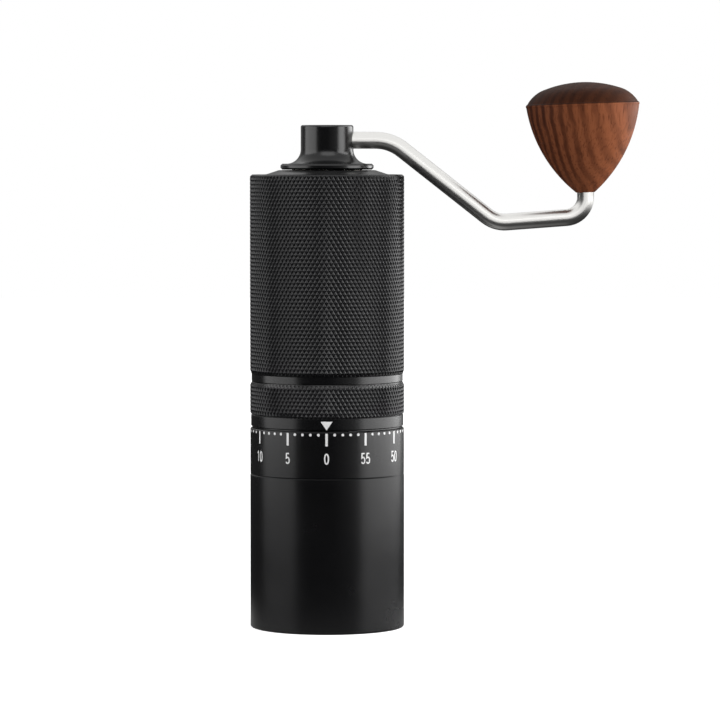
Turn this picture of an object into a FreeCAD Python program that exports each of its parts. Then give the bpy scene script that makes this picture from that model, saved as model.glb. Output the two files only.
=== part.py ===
import FreeCAD
import Part
import Sketcher
import math
import os
import re

# A hand crank coffee grinder. Millimetres, the axis of the body is Z, the cup stands on z = 0,
# the crank arm points along +X and the zero of the dial looks along -Y.

SIZES = [
    # The outside of the body
    ("body_radius", 26.5, "outside of the cup and crest of the knurl"),
    ("dial_inset", 0.05, "dial ring below the outside of the cup"),
    ("knurl_depth", 0.3, "plain cylinder under the knurl, below its crest"),
    ("cup_height", 53.0, "height of the catch cup"),
    ("cup_wall", 2.8, "wall of the cup"),
    ("cup_floor", 3.0, "floor of the cup"),
    ("cup_edge", 0.8, "rounding of the cup's lower edge"),
    ("cup_corner", 4.0, "rounding inside the cup"),
    ("seam_chamfer", 0.25, "chamfer on both sides of the seam above the cup"),
    ("dial_height", 15.9, "height of the dial ring"),
    ("dial_edge", 0.3, "chamfer on the upper edge of the dial"),
    ("ring_gap", 0.2, "clearance between the dial and the adjusting ring"),
    ("lip_height", 0.35, "height of the set back lip that makes the dark line"),
    ("lip_inset", 0.8, "how far that lip is set back"),
    ("index_height", 4.2, "height of the smooth index band"),
    ("index_inset", 0.3, "index band below the outside"),
    ("band_height", 11.1, "height of the knurled band on the adjusting ring"),
    ("band_bevel", 1.0, "height of the bevel above the knurled band"),
    ("ring_clearance", 0.3, "clearance between the adjusting ring and the barrel"),
    ("groove_height", 2.35, "height of the smooth groove under the grip"),
    ("groove_depth", 0.5, "groove below the outside"),
    ("grip_bevel", 1.3, "height of the bevel at the foot of the grip"),
    ("grip_height", 67.1, "length of the grip above its bevel"),
    ("grip_edge", 0.4, "chamfer on the upper edge of the grip"),
    # Marks on the dial and on the index band
    ("tick_width", 0.85, "width of a long mark"),
    ("tick_height", 4.3, "length of a long mark"),
    ("tick_top", 0.4, "upper end of the marks below the top of the dial"),
    ("dot_radius", 0.5, "radius of a dot"),
    ("mark_depth", 0.12, "depth of the marks"),
    ("index_width", 4.1, "width of the index triangle"),
    ("index_length", 3.0, "height of the index triangle"),
    # Cup magnets, spigot and lock pins
    ("magnet_radius", 1.0, "radius of a magnet"),
    ("magnet_length", 3.0, "length of a magnet"),
    ("glue_gap", 0.03, "glue line round a magnet or pin"),
    ("spigot_length", 5.0, "spigot of the dial ring inside the cup"),
    ("spigot_clearance", 0.2, "spigot below the bore of the cup"),
    ("neck_seat", 2.9, "foot of the neck above the top of the cup"),
    ("pin_radius", 0.75, "radius of a lock pin"),
    ("pin_length", 9.0, "length of a lock pin"),
    # Neck, adjusting thread and click stop
    ("ring_wall", 3.0, "neck below the outside"),
    ("neck_wall", 3.1, "wall of the neck"),
    ("running_fit", 0.05, "radial clearance of turning fits"),
    ("thread_depth", 0.5, "pitch cylinder of the adjusting thread outside the neck"),
    ("land_height", 3.5, "plain land at the top of the adjusting ring"),
    ("ball_radius", 1.0, "radius of the click ball"),
    ("click_inset", 2.0, "circle of the clicks below the outside"),
    ("click_depth", 0.25, "depth of the click dimples"),
    ("click_room", 6.0, "depth of the hole for the click ball and spring"),
    # Hopper
    ("mouth_wall", 2.3, "wall at the mouth of the hopper"),
    ("mouth_depth", 5.4, "depth of the mouth that takes the lid"),
    ("bridge_step", 0.8, "step under the lid"),
    ("bridge_room", 10.5, "height of the bore that takes the upper bridge"),
    ("hopper_step", 0.5, "step under the upper bridge"),
    ("funnel_height", 10.0, "height of the funnel"),
    ("funnel_lift", 2.0, "foot of the funnel above its lower face"),
    ("throat_inset", 1.9, "throat of the funnel inside the bore of the neck"),
    # Bridges and bearings
    ("bridge_fit", 0.05, "bridge below its bore"),
    ("bridge_height", 6.0, "height of the upper bridge"),
    ("bridge_wall", 1.8, "rim of the upper bridge"),
    ("spoke_width", 4.0, "width of the spokes"),
    ("spoke_height", 4.0, "height of the spokes"),
    ("lower_bridge_height", 4.0, "height of the rim of the lower bridge"),
    ("lower_bridge_wall", 3.2, "rim of the lower bridge"),
    ("seat_wall", 2.4, "wall round a bearing"),
    ("seat_lip", 1.0, "lip that stops a bearing"),
    ("snap_thickness", 1.0, "thickness of the snap rings"),
    ("snap_bite", 0.5, "depth of a snap ring in its groove"),
    ("snap_width", 2.0, "radial width of a snap ring"),
    ("shaft_radius", 4.0, "radius of the drive shaft and bore of the bearings"),
    ("race_wall", 1.4, "thickness of the bearing rings"),
    ("race_gap", 1.2, "space between the two rings of a bearing"),
    ("bearing_width", 5.0, "width of a bearing"),
    ("race_ball", 1.0, "radius of a bearing ball"),
    ("race_clearance", 0.03, "clearance round a bearing ball"),
    ("cage_thickness", 0.6, "thickness of a ball cage"),
    ("cage_height", 3.0, "height of a ball cage"),
    # Shaft and inner burr
    ("collar_radius", 5.2, "radius of the collar on the shaft"),
    ("collar_height", 2.0, "height of the collar"),
    ("hex_across", 6.8, "drive hexagon across flats"),
    ("hex_lead", 0.6, "drive hexagon below its socket"),
    ("hex_play", 0.1, "clearance of the hexagon on each side"),
    ("clip_thickness", 0.8, "thickness of the circlips"),
    ("clip_bite", 0.5, "depth of a circlip in its groove"),
    ("clip_width", 1.7, "radial width of a circlip"),
    ("burr_drop", 8.0, "top of the inner burr below the lower bearing"),
    ("burr_height", 22.0, "height of the inner burr"),
    ("burr_crown", 7.0, "radius of the inner burr at its top"),
    ("burr_flat", 3.4, "flat of the burr seat from the axis"),
    ("burr_twist", 50.0, "twist of the inner flutes in degrees"),
    ("washer_radius", 8.0, "radius of the burr washer"),
    ("washer_thickness", 1.0, "thickness of the burr washer"),
    ("nut_across", 10.0, "burr nut across flats"),
    ("nut_height", 4.0, "height of the burr nut"),
    ("stub_radius", 3.0, "threaded end of the shaft"),
    # Carrier and outer burr
    ("slide_fit", 0.08, "carrier below the bore of the neck"),
    ("carrier_wall", 1.27, "wall of the carrier"),
    ("carrier_height", 21.0, "height of the carrier"),
    ("carrier_floor", 3.0, "thickness of the carrier flange"),
    ("carrier_throat", 3.82, "flange of the carrier inwards from its outside"),
    ("lug_height", 6.0, "height of the lugs"),
    ("lug_width", 9.0, "width of the lugs"),
    ("lug_play", 0.3, "clearance of the lugs in their slots"),
    ("slot_room", 3.5, "slots above the lugs"),
    ("outer_burr_height", 14.0, "height of the outer burr"),
    ("burr_wall", 2.6, "wall of the outer burr at its cutting edge"),
    ("grind_gap", 0.3, "gap between the burrs at the zero setting"),
    ("cutting_taper", 0.2, "taper of the cutting cones, radius per height"),
    ("tooth_depth", 0.9, "depth of the teeth of the outer burr"),
    ("screw_radius", 0.8, "radius of a burr screw"),
    ("screw_head", 1.5, "radius of its head"),
    ("screw_length", 6.0, "length of a burr screw"),
    ("spring_wire", 1.2, "wire of the carrier spring"),
    ("spring_turns", 4.0, "turns of the carrier spring"),
    ("spring_seat", 0.2, "clearance at each end of the carrier spring"),
    # Lid
    ("lid_clearance", 0.3, "lid below the mouth"),
    ("lid_rim", 0.5, "rim of the lid below the top of the barrel"),
    ("lid_slope_radius", 20.4, "foot of the raised middle of the lid"),
    ("lid_slope_rise", 0.25, "foot of the raised middle above the top of the barrel"),
    ("lid_crown_radius", 16.6, "radius of the raised middle"),
    ("lid_crown_rise", 1.5, "height of the raised middle above the top of the barrel"),
    ("lid_skin", 2.2, "thickness of the lid"),
    ("lid_skirt", 2.6, "wall of the skirt of the lid"),
    ("seal_wire", 1.0, "section of the sealing ring"),
    ("seal_stretch", 0.2, "sealing ring proud of the lid"),
    ("bush_wall", 1.45, "wall of the lid bush"),
    ("bush_flange", 12.0, "radius of the flange of the lid bush"),
    ("bush_flange_height", 0.95, "thickness of that flange"),
    ("boss_wall", 2.0, "boss of the lid round the bush"),
    # Hub
    ("hub_gap", 0.2, "hub flange above the lid"),
    ("stem_radius", 7.0, "stem of the hub in the lid"),
    ("stem_length", 8.6, "stem of the hub below its flange"),
    ("hub_flange", 16.0, "radius of the hub flange"),
    ("hub_flange_height", 2.0, "thickness of the hub flange"),
    ("hub_bevel", 0.6, "bevels on the edge of the hub flange"),
    ("hub_sweep", 4.9, "radius of the sweep from the flange to the neck"),
    ("hub_neck", 9.05, "radius of the neck of the hub"),
    ("hub_height", 15.25, "height of the hub from the underside of its flange"),
    ("hub_edge", 0.7, "rounding of the top of the hub"),
    ("socket_radius", 5.8, "outside of the drive socket"),
    ("socket_length", 11.2, "length of the drive socket"),
    ("grub_radius", 2.5, "radius of the grub screw"),
    # Crank arm
    ("rod_radius", 2.9, "radius of the rod"),
    ("rod_rise", 11.8, "rod in the hub above the top of the barrel"),
    ("rod_tail", 5.0, "rod beyond the axis of the hub"),
    ("shoulder_reach", 21.8, "first bend from the axis"),
    ("shoulder_rise", 11.7, "first bend above the top of the barrel"),
    ("shoulder_bend", 15.0, "radius of the first bend"),
    ("elbow_reach", 57.8, "second bend from the axis"),
    ("elbow_drop", 16.6, "second bend below the top of the barrel"),
    ("elbow_bend", 10.0, "radius of the second bend"),
    ("wrist_reach", 89.0, "third bend from the axis"),
    ("wrist_drop", 14.3, "third bend below the top of the barrel"),
    ("wrist_bend", 7.0, "radius of the third bend"),
    ("knob_lean", 2.0, "lean of the knob towards the body in degrees"),
    # Knob, measured along its own axis from the third bend
    ("knob_stand", 8.2, "foot of the knob above the third bend"),
    ("knob_height", 37.8, "height of the knob"),
    ("knob_radius", 19.35, "largest radius of the knob"),
    ("knob_tip", 3.2, "radius of the foot of the knob"),
    ("knob_rim", 30.2, "height of the largest radius"),
    ("knob_flank", 47.0, "radius of the flank"),
    ("knob_edge", 0.7, "rounding of the rim"),
    ("knob_shoulder", 12.5, "radius where the dome tightens"),
    ("knob_shoulder_drop", 2.1, "that place below the top"),
    ("knob_turn", 11.0, "radius of the shoulder of the dome"),
    ("spigot_radius", 2.0, "spigot of the rod inside the knob"),
    ("knob_play", 0.15, "clearance of the rod in the foot of the knob"),
    ("bush_start", 1.5, "foot of the knob bush above the foot of the knob"),
    ("bush_length", 24.0, "length of the knob bush"),
    ("bore_spare", 2.5, "bore of the knob beyond its bush"),
    ("ring_bite", 0.4, "depth of the knob snap ring in its groove"),
    ("ring_thickness", 0.6, "thickness of the knob snap ring"),
]

# Heights and radii that follow from the sizes
DERIVED = {
    "cup_bore": "body_radius - cup_wall",
    "magnet_circle": "body_radius - cup_wall / 2",
    "dial_radius": "body_radius - dial_inset",
    "root_radius": "body_radius - knurl_depth",
    "groove_radius": "body_radius - groove_depth",
    "index_radius": "body_radius - index_inset",
    "lip_radius": "body_radius - lip_inset",
    "click_circle": "body_radius - click_inset",
    "dial_top": "cup_height + dial_height",
    "ring_base": "dial_top + ring_gap",
    "index_base": "ring_base + lip_height",
    "band_base": "index_base + index_height",
    "ring_top": "band_base + band_height",
    "shoulder": "ring_top + ring_clearance",
    "groove_top": "shoulder + groove_height",
    "grip_base": "groove_top + grip_bevel",
    "body_top": "grip_base + grip_height",
    "spigot_outside": "cup_bore - spigot_clearance",
    "spigot_base": "cup_height - spigot_length",
    "neck_radius": "body_radius - ring_wall",
    "neck_bore": "neck_radius - neck_wall",
    "neck_base": "cup_height + neck_seat",
    "dial_bore": "neck_bore + 0.2",
    "pin_circle": "neck_radius - neck_wall / 2",
    "thread_radius": "neck_radius + thread_depth",
    "mouth_radius": "root_radius - mouth_wall + knurl_depth",
    "bridge_bore": "mouth_radius - bridge_step",
    "hopper_radius": "bridge_bore - hopper_step",
    "mouth_base": "body_top - mouth_depth",
    "bridge_base": "mouth_base - bridge_room",
    "bridge_top": "bridge_base + bridge_height",
    "neck_top": "shoulder - 0.3",
    "throat_radius": "neck_bore - throat_inset",
    "throat_top": "neck_top + funnel_lift",
    "funnel_top": "throat_top + funnel_height",
    "lower_base": "neck_top - lower_bridge_height",
    "race_outside": "shaft_radius + 2 * race_wall + race_gap",
    "race_circle": "shaft_radius + race_wall + race_gap / 2",
    "track_radius": "race_ball + race_clearance",
    "track_half": "sqrt(track_radius ^ 2 - race_gap ^ 2 / 4)",
    "seat_radius": "race_outside + seat_wall",
    "upper_bearing": "bridge_top - bearing_width",
    "lower_bearing": "neck_top - seat_lip - bearing_width",
    "shaft_top": "body_top + lid_crown_rise + 2.1",
    "hex_base": "stem_base - hex_lead",
    "hex_length": "shaft_top - hex_base",
    "burr_top": "lower_bearing - burr_drop + 2",
    "burr_base": "burr_top - burr_height",
    "carrier_radius": "neck_bore - slide_fit",
    "carrier_base": "neck_base - 1",
    "carrier_top": "carrier_base + carrier_height",
    "lug_base": "carrier_top - lug_height",
    "flange_base": "lug_base - carrier_floor",
    "outer_burr_radius": "carrier_radius - carrier_wall - 0.05",
    "outer_burr_base": "flange_base - outer_burr_height",
    "cutting_radius": "outer_burr_radius - burr_wall",
    "spring_radius": "neck_bore - snap_width - spring_wire / 2 + snap_bite - 0.1",
    "lid_radius": "mouth_radius - lid_clearance",
    "lid_top": "body_top + lid_crown_rise",
    "bush_bore": "stem_radius + running_fit",
    "bush_outside": "bush_bore + bush_wall",
    "boss_radius": "bush_outside + boss_wall",
    "hub_base": "lid_top + hub_gap",
    "hub_deck": "hub_base + hub_flange_height",
    "hub_top": "hub_base + hub_height",
    "stem_base": "hub_base - stem_length",
    "socket_top": "stem_base + socket_length",
    "rod_height": "body_top + rod_rise",
    "grub_length": "rod_height - rod_radius - socket_top - 0.15",
    "knob_crown": "(knob_shoulder ^ 2 + knob_shoulder_drop ^ 2) / (2 * knob_shoulder_drop)",
}

VALUES = {alias: value for alias, value, meaning in SIZES}
MAGNETS = 6
CLICKS = 60
NUMBERED = 12
BALLS = 9
ARMS = 3
INNER_FLUTES = 10
OUTER_TEETH = 24
# Spokes and lugs leave the way along +X open
ARM_START = 60.0

UP = FreeCAD.Vector(0, 0, 1)
ORIGIN = FreeCAD.Vector(0, 0, 0)

doc = FreeCAD.newDocument("coffee_grinder")
sheet = doc.addObject("Spreadsheet::Sheet", "Sizes")
for row, (alias, value, meaning) in enumerate(SIZES, start=1):
    sheet.set(f"A{row}", meaning)
    sheet.set(f"B{row}", str(value))
    sheet.setAlias(f"B{row}", alias)
doc.recompute()

NODES = {}


def bound(text):
    """The text as an expression on the sheet, with derived heights and radii written out."""

    def written(match):
        word = match.group(0)
        if word in DERIVED:
            return "(" + bound(DERIVED[word]) + ")"
        if word in VALUES:
            return "Sizes." + word
        return word

    return re.sub(r"[a-z][a-z_0-9]*", written, text)


def mm(text):
    """The value of an expression."""
    return float(sheet.evalExpression(bound(text)))


def keep(label, item):
    """Names a finished piece and lists it for export."""
    item.Label = label
    NODES[label] = item
    return item


def point_constraints(sketch, geometry, place, across, along):
    """Ties one corner of an outline to the sheet."""
    if across == "0":
        sketch.addConstraint(Sketcher.Constraint("PointOnObject", geometry, place, -2))
    else:
        number = sketch.addConstraint(
            Sketcher.Constraint("DistanceX", -1, 1, geometry, place, mm(across))
        )
        sketch.setExpression(f"Constraints[{number}]", bound(across))
    if along == "0":
        sketch.addConstraint(Sketcher.Constraint("PointOnObject", geometry, place, -1))
    else:
        number = sketch.addConstraint(
            Sketcher.Constraint("DistanceY", -1, 1, geometry, place, mm(along))
        )
        sketch.setExpression(f"Constraints[{number}]", bound(along))


def outline(body, name, plane, corners):
    """A closed sketch. A corner is (across, along), or has a radius and a side for an arc that ends there:
    side 1 has the centre on the left of the way, side -1 on the right."""
    sketch = body.newObject("Sketcher::SketchObject", name)
    support = [item for item in body.Origin.OriginFeatures if item.Role == plane][0]
    sketch.AttachmentSupport = (support, [""])
    sketch.MapMode = "FlatFace"
    spots = [FreeCAD.Vector(mm(corner[0]), mm(corner[1]), 0) for corner in corners]
    count = len(corners)
    ends = []
    radii = []
    for k in range(count):
        here = spots[k]
        there = spots[(k + 1) % count]
        goal = corners[(k + 1) % count]
        if len(goal) == 2:
            sketch.addGeometry(Part.LineSegment(here, there))
            ends.append((1, 2))
            continue
        radius = mm(goal[2])
        side = goal[3]
        chord = there - here
        reach = math.sqrt(max(radius * radius - chord.Length**2 / 4, 0.0))
        left = FreeCAD.Vector(-chord.y, chord.x, 0) / chord.Length
        centre = (here + there) * 0.5 + left * (side * reach)
        first, last = (here, there) if side > 0 else (there, here)
        start = math.atan2(first.y - centre.y, first.x - centre.x)
        finish = math.atan2(last.y - centre.y, last.x - centre.x)
        if finish < start:
            finish += 2 * math.pi
        circle = Part.Circle(centre, UP, radius)
        sketch.addGeometry(Part.ArcOfCircle(circle, start, finish))
        ends.append((1, 2) if side > 0 else (2, 1))
        radii.append((k, goal[2]))
    for k in range(count):
        after = (k + 1) % count
        sketch.addConstraint(Sketcher.Constraint("Coincident", k, ends[k][1], after, ends[after][0]))
        point_constraints(sketch, k, ends[k][0], corners[k][0], corners[k][1])
    for k, text in radii:
        number = sketch.addConstraint(Sketcher.Constraint("Radius", k, mm(text)))
        sketch.setExpression(f"Constraints[{number}]", bound(text))
    return sketch


def turned(name, corners):
    """A body turned about Z from an outline of (radius, height) corners."""
    body = doc.addObject("PartDesign::Body", name)
    sketch = outline(body, name + "_outline", "XZ_Plane", corners)
    feature = body.newObject("PartDesign::Revolution", name + "_turned")
    feature.Profile = sketch
    feature.ReferenceAxis = (sketch, ["V_Axis"])
    feature.Angle = 360
    return body


def at(item, x, y, z):
    """Ties the place of an object to the sheet."""
    item.setExpression("Placement.Base.x", bound(x))
    item.setExpression("Placement.Base.y", bound(y))
    item.setExpression("Placement.Base.z", bound(z))
    return item


def cylinder(name, radius, height, x, y, z):
    item = doc.addObject("Part::Cylinder", name)
    item.setExpression("Radius", bound(radius))
    item.setExpression("Height", bound(height))
    return at(item, x, y, z)


def sphere(name, radius, x, y, z):
    item = doc.addObject("Part::Sphere", name)
    item.setExpression("Radius", bound(radius))
    return at(item, x, y, z)


def torus(name, circle, section, z):
    item = doc.addObject("Part::Torus", name)
    item.setExpression("Radius1", bound(circle))
    item.setExpression("Radius2", bound(section))
    return at(item, "0", "0", z)


def hexagon(name, across, height, z):
    item = doc.addObject("Part::Prism", name)
    item.Polygon = 6
    item.setExpression("Circumradius", bound(f"({across}) / sqrt(3)"))
    item.setExpression("Height", bound(height))
    return at(item, "0", "0", z)


def tube(name, inside, outside, base, height):
    """A plain ring."""
    top = f"{base} + {height}"
    return turned(name, [(inside, base), (outside, base), (outside, top), (inside, top)])


def block(name, start, length, width, base, height):
    """A block along +X, centred on y = 0."""
    item = doc.addObject("Part::Box", name)
    item.setExpression("Length", bound(length))
    item.setExpression("Width", bound(width))
    item.setExpression("Height", bound(height))
    return at(item, start, f"-({width}) / 2", base)


def around(name, item, count, first=0.0):
    """Copies of one object, spread evenly round Z."""
    doc.recompute()
    copies = []
    for k in range(count):
        copy = item.Shape.copy()
        copy.rotate(ORIGIN, UP, first + 360.0 * k / count)
        copies.append(copy)
    group = doc.addObject("Part::Feature", name)
    group.Shape = Part.makeCompound(copies)
    return group


def cut(name, base, tool):
    item = doc.addObject("Part::Cut", name)
    item.Base = base
    item.Tool = tool
    return item


def common(name, base, tool):
    item = doc.addObject("Part::Common", name)
    item.Base = base
    item.Tool = tool
    return item


def fuse(name, items):
    item = doc.addObject("Part::MultiFuse", name)
    item.Shapes = items
    return item


def feature(name, shape):
    item = doc.addObject("Part::Feature", name)
    item.Shape = shape
    return item


def snap_ring(label, inside, outside, base, height, opening, direction):
    """A ring with a gap that lets it spring into its groove."""
    ring = tube(label + "_ring", inside, outside, base, height)
    gap = block(label + "_gap", "0", outside + " + 1", opening, f"{base} - 1", f"{height} + 2")
    return keep(label, cut(label, ring, around(label + "_gap_turned", gap, 1, direction)))


def coil(name, radius, wire, base, height, turns):
    """A compression spring with its axis on Z, of one wire.
    Each half turn is an arc tilted about Y, so neighbouring arcs run into each other along Y."""
    count = int(round(2 * turns))
    rise = (height - 2 * wire) / count
    arcs = []
    for k in range(count):
        side = 1 if k % 2 == 0 else -1
        low = base + wire + rise * k
        spot = FreeCAD.Vector(side * radius, 0, low)
        section = Part.Face(Part.Wire([Part.makeCircle(wire / 2, spot, FreeCAD.Vector(0, 1, 0))]))
        axis = FreeCAD.Vector(side * rise, 0, 2 * radius)
        arcs.append(section.revolve(FreeCAD.Vector(0, 0, low + rise / 2), axis, 180))
    return arcs[0].multiFuse(arcs[1:]).Solids[0]


def star(count, crest, root, height, twist):
    """A closed star with count points, turned by twist degrees."""
    spots = []
    for k in range(2 * count):
        angle = math.radians(twist + 180.0 * k / count)
        radius = crest if k % 2 == 0 else root
        spots.append(FreeCAD.Vector(radius * math.cos(angle), radius * math.sin(angle), height))
    return Part.makePolygon(spots + [spots[0]])


# Catch cup
cup_turned = turned(
    "catch_cup_turned",
    [
        ("0", "0"),
        ("body_radius - cup_edge", "0"),
        ("body_radius", "cup_edge", "cup_edge", 1),
        ("body_radius", "cup_height - seam_chamfer"),
        ("body_radius - seam_chamfer", "cup_height"),
        ("cup_bore", "cup_height"),
        ("cup_bore", "cup_floor + cup_corner"),
        ("cup_bore - cup_corner", "cup_floor", "cup_corner", -1),
        ("0", "cup_floor"),
    ],
)
cup_pocket = cylinder(
    "cup_magnet_pocket",
    "magnet_radius + glue_gap",
    "magnet_length + 1",
    "magnet_circle",
    "0",
    "cup_height - magnet_length - glue_gap",
)
keep("catch_cup", cut("catch_cup", cup_turned, around("cup_magnet_pockets", cup_pocket, MAGNETS, 30.0)))
cup_magnet = cylinder(
    "cup_magnet", "magnet_radius", "magnet_length", "magnet_circle", "0", "cup_height - magnet_length"
)
keep("cup_magnets", around("cup_magnets", cup_magnet, MAGNETS, 30.0))

# Dial ring: scale outside, spigot for the cup below, seat for the neck above
dial_turned = turned(
    "dial_ring_turned",
    [
        ("dial_bore", "spigot_base"),
        ("spigot_outside - 2 * seam_chamfer", "spigot_base"),
        ("spigot_outside", "spigot_base + 2 * seam_chamfer"),
        ("spigot_outside", "cup_height"),
        ("dial_radius - seam_chamfer", "cup_height"),
        ("dial_radius", "cup_height + seam_chamfer"),
        ("dial_radius", "dial_top - dial_edge"),
        ("dial_radius - dial_edge", "dial_top"),
        ("neck_radius + running_fit", "dial_top"),
        ("neck_radius + running_fit", "neck_base"),
        ("dial_bore", "neck_base"),
    ],
)
dial_pocket = cylinder(
    "dial_magnet_pocket",
    "magnet_radius + glue_gap",
    "magnet_length + 1 + glue_gap",
    "magnet_circle",
    "0",
    "cup_height - 1",
)
pin_hole = cylinder(
    "pin_hole", "pin_radius + glue_gap", "pin_length + glue_gap", "pin_circle", "0", "neck_base - pin_length / 2"
)
pin_way = cylinder("pin_way", "pin_radius + glue_gap", "neck_seat + spigot_length", "pin_circle", "0", "spigot_base")
tick = block(
    "tick",
    "dial_radius - mark_depth",
    "1",
    "tick_width",
    "dial_top - tick_top - tick_height",
    "tick_height",
)
dot = cylinder("dot", "dot_radius", "1", "dial_radius - mark_depth", "0", "dial_top - tick_top - dot_radius")
dot.Placement.Rotation = FreeCAD.Rotation(FreeCAD.Vector(0, 1, 0), 90)
doc.recompute()
marks = []
for k in range(CLICKS):
    mark = (tick if k % (CLICKS // NUMBERED) == 0 else dot).Shape.copy()
    mark.rotate(ORIGIN, UP, -90.0 + 360.0 * k / CLICKS)
    marks.append(mark)
dial_tools = fuse(
    "dial_tools",
    [
        around("dial_magnet_pockets", dial_pocket, MAGNETS, 30.0),
        around("dial_pin_ways", pin_way, ARMS, 0.0),
        feature("dial_marks", Part.makeCompound(marks)),
    ],
)
keep("dial_ring", cut("dial_ring", dial_turned, dial_tools))
dial_magnet = cylinder("dial_magnet", "magnet_radius", "magnet_length", "magnet_circle", "0", "cup_height")
keep("dial_magnets", around("dial_magnets", dial_magnet, MAGNETS, 30.0))
dial_pin = cylinder("dial_pin", "pin_radius", "pin_length", "pin_circle", "0", "neck_base - pin_length / 2")
keep("dial_pins", around("dial_pins", dial_pin, ARMS, 0.0))

# Barrel: hopper with the grip outside, and below it the slotted neck
upper_groove = "bridge_top + snap_thickness"
lower_groove = "lower_base - snap_thickness"
barrel_turned = turned(
    "grip_barrel_turned",
    [
        ("neck_bore", "neck_base"),
        ("neck_radius", "neck_base"),
        ("neck_radius", "shoulder"),
        ("groove_radius", "shoulder"),
        ("groove_radius", "groove_top"),
        ("root_radius", "grip_base"),
        ("root_radius", "body_top - grip_edge"),
        ("root_radius - grip_edge", "body_top"),
        ("mouth_radius", "body_top"),
        ("mouth_radius", "mouth_base"),
        ("bridge_bore", "mouth_base"),
        ("bridge_bore", upper_groove),
        ("bridge_bore + snap_bite", upper_groove),
        ("bridge_bore + snap_bite", "bridge_top"),
        ("bridge_bore", "bridge_top"),
        ("bridge_bore", "bridge_base"),
        ("hopper_radius", "bridge_base"),
        ("hopper_radius", "funnel_top"),
        ("throat_radius", "throat_top"),
        ("throat_radius", "neck_top"),
        ("neck_bore", "neck_top"),
        ("neck_bore", "lower_base"),
        ("neck_bore + snap_bite", "lower_base"),
        ("neck_bore + snap_bite", lower_groove),
        ("neck_bore", lower_groove),
    ],
)
slot = block(
    "slot",
    "neck_bore - 1",
    "neck_wall + 2",
    "lug_width + 2 * lug_play",
    "neck_base - 1",
    "carrier_top + slot_room - neck_base + 1",
)
click_hole = cylinder(
    "click_hole", "ball_radius + glue_gap", "click_room + 1", "click_circle", "0", "shoulder - 1"
)
barrel_tools = fuse(
    "barrel_tools",
    [
        around("neck_slots", slot, ARMS, ARM_START),
        around("neck_pin_holes", pin_hole, ARMS, 0.0),
        around("click_holes", click_hole, 1, 90.0),
    ],
)
keep("grip_barrel", cut("grip_barrel", barrel_turned, barrel_tools))

# Adjusting ring: index band and knurled band outside, thread inside, click dimples on top
ring_turned = turned(
    "adjusting_ring_turned",
    [
        ("thread_radius", "ring_base"),
        ("lip_radius", "ring_base"),
        ("lip_radius", "index_base"),
        ("index_radius - dial_edge", "index_base"),
        ("index_radius", "index_base + dial_edge"),
        ("index_radius", "band_base - 0.3"),
        ("index_radius - 0.25", "band_base"),
        ("root_radius", "band_base + 0.3"),
        ("root_radius", "ring_top - band_bevel"),
        ("groove_radius - 0.1", "ring_top"),
        ("neck_radius + running_fit", "ring_top"),
        ("neck_radius + running_fit", "ring_top - land_height"),
        ("thread_radius", "ring_top - land_height"),
    ],
)
dimple = sphere("dimple", "ball_radius", "click_circle", "0", "ring_top + ball_radius - click_depth")
index_body = doc.addObject("PartDesign::Body", "index_body")
index_sketch = outline(
    index_body,
    "index_outline",
    "XZ_Plane",
    [
        ("0", "index_base + 0.1"),
        ("index_width / 2", "index_base + 0.1 + index_length"),
        ("-index_width / 2", "index_base + 0.1 + index_length"),
    ],
)
index_pad = index_body.newObject("PartDesign::Pad", "index_pad")
index_pad.Profile = index_sketch
index_pad.setExpression("Length", bound("body_radius"))
index_core = cylinder(
    "index_core", "index_radius - mark_depth", "index_length + 2", "0", "0", "index_base - 0.5"
)
ring_tools = fuse(
    "ring_tools",
    [
        cut("index_cut", index_body, index_core),
        around("dimples", dimple, CLICKS, 90.0),
    ],
)
keep("adjusting_ring", cut("adjusting_ring", ring_turned, ring_tools))

# Click stop, the ball stands on the crest between two dimples
click_ball = sphere("click_ball_loose", "ball_radius", "click_circle", "0", "ring_top + running_fit + ball_radius")
keep("click_ball", around("click_ball", click_ball, 1, 90.0))
click_foot = mm("ring_top + running_fit + 2 * ball_radius")
click_height = mm("shoulder + click_room") - click_foot
click_shape = coil("click_coil", mm("ball_radius - 0.25"), 0.25, click_foot, click_height, 6)
click_shape.translate(FreeCAD.Vector(0, mm("click_circle"), 0))
keep("click_spring", feature("click_spring", click_shape))


# Spiders that hold the bearings
def spider(label, rim_inside, rim_outside, base, height, spoke_base, seat_base, seat_height, bearing, stop):
    """A rim, a bearing seat and spokes between them."""
    rim = tube(label + "_rim", rim_inside, rim_outside, base, height)
    seat = cylinder(label + "_seat", "seat_radius", seat_height, "0", "0", seat_base)
    spoke = block(
        label + "_spoke",
        "seat_radius - 1",
        f"{rim_inside} - seat_radius + 1.5",
        "spoke_width",
        spoke_base,
        "spoke_height",
    )
    bore = cylinder(label + "_bore", "race_outside", "bearing_width + 0.5", "0", "0", bearing)
    way = cylinder(label + "_way", "race_outside - race_wall", "60", "0", "0", stop + " - 30")
    spokes = around(label + "_spokes", spoke, ARMS, ARM_START)
    solid = fuse(label + "_solid", [rim, seat, spokes])
    return keep(label, cut(label, solid, fuse(label + "_holes", [bore, way])))


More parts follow.
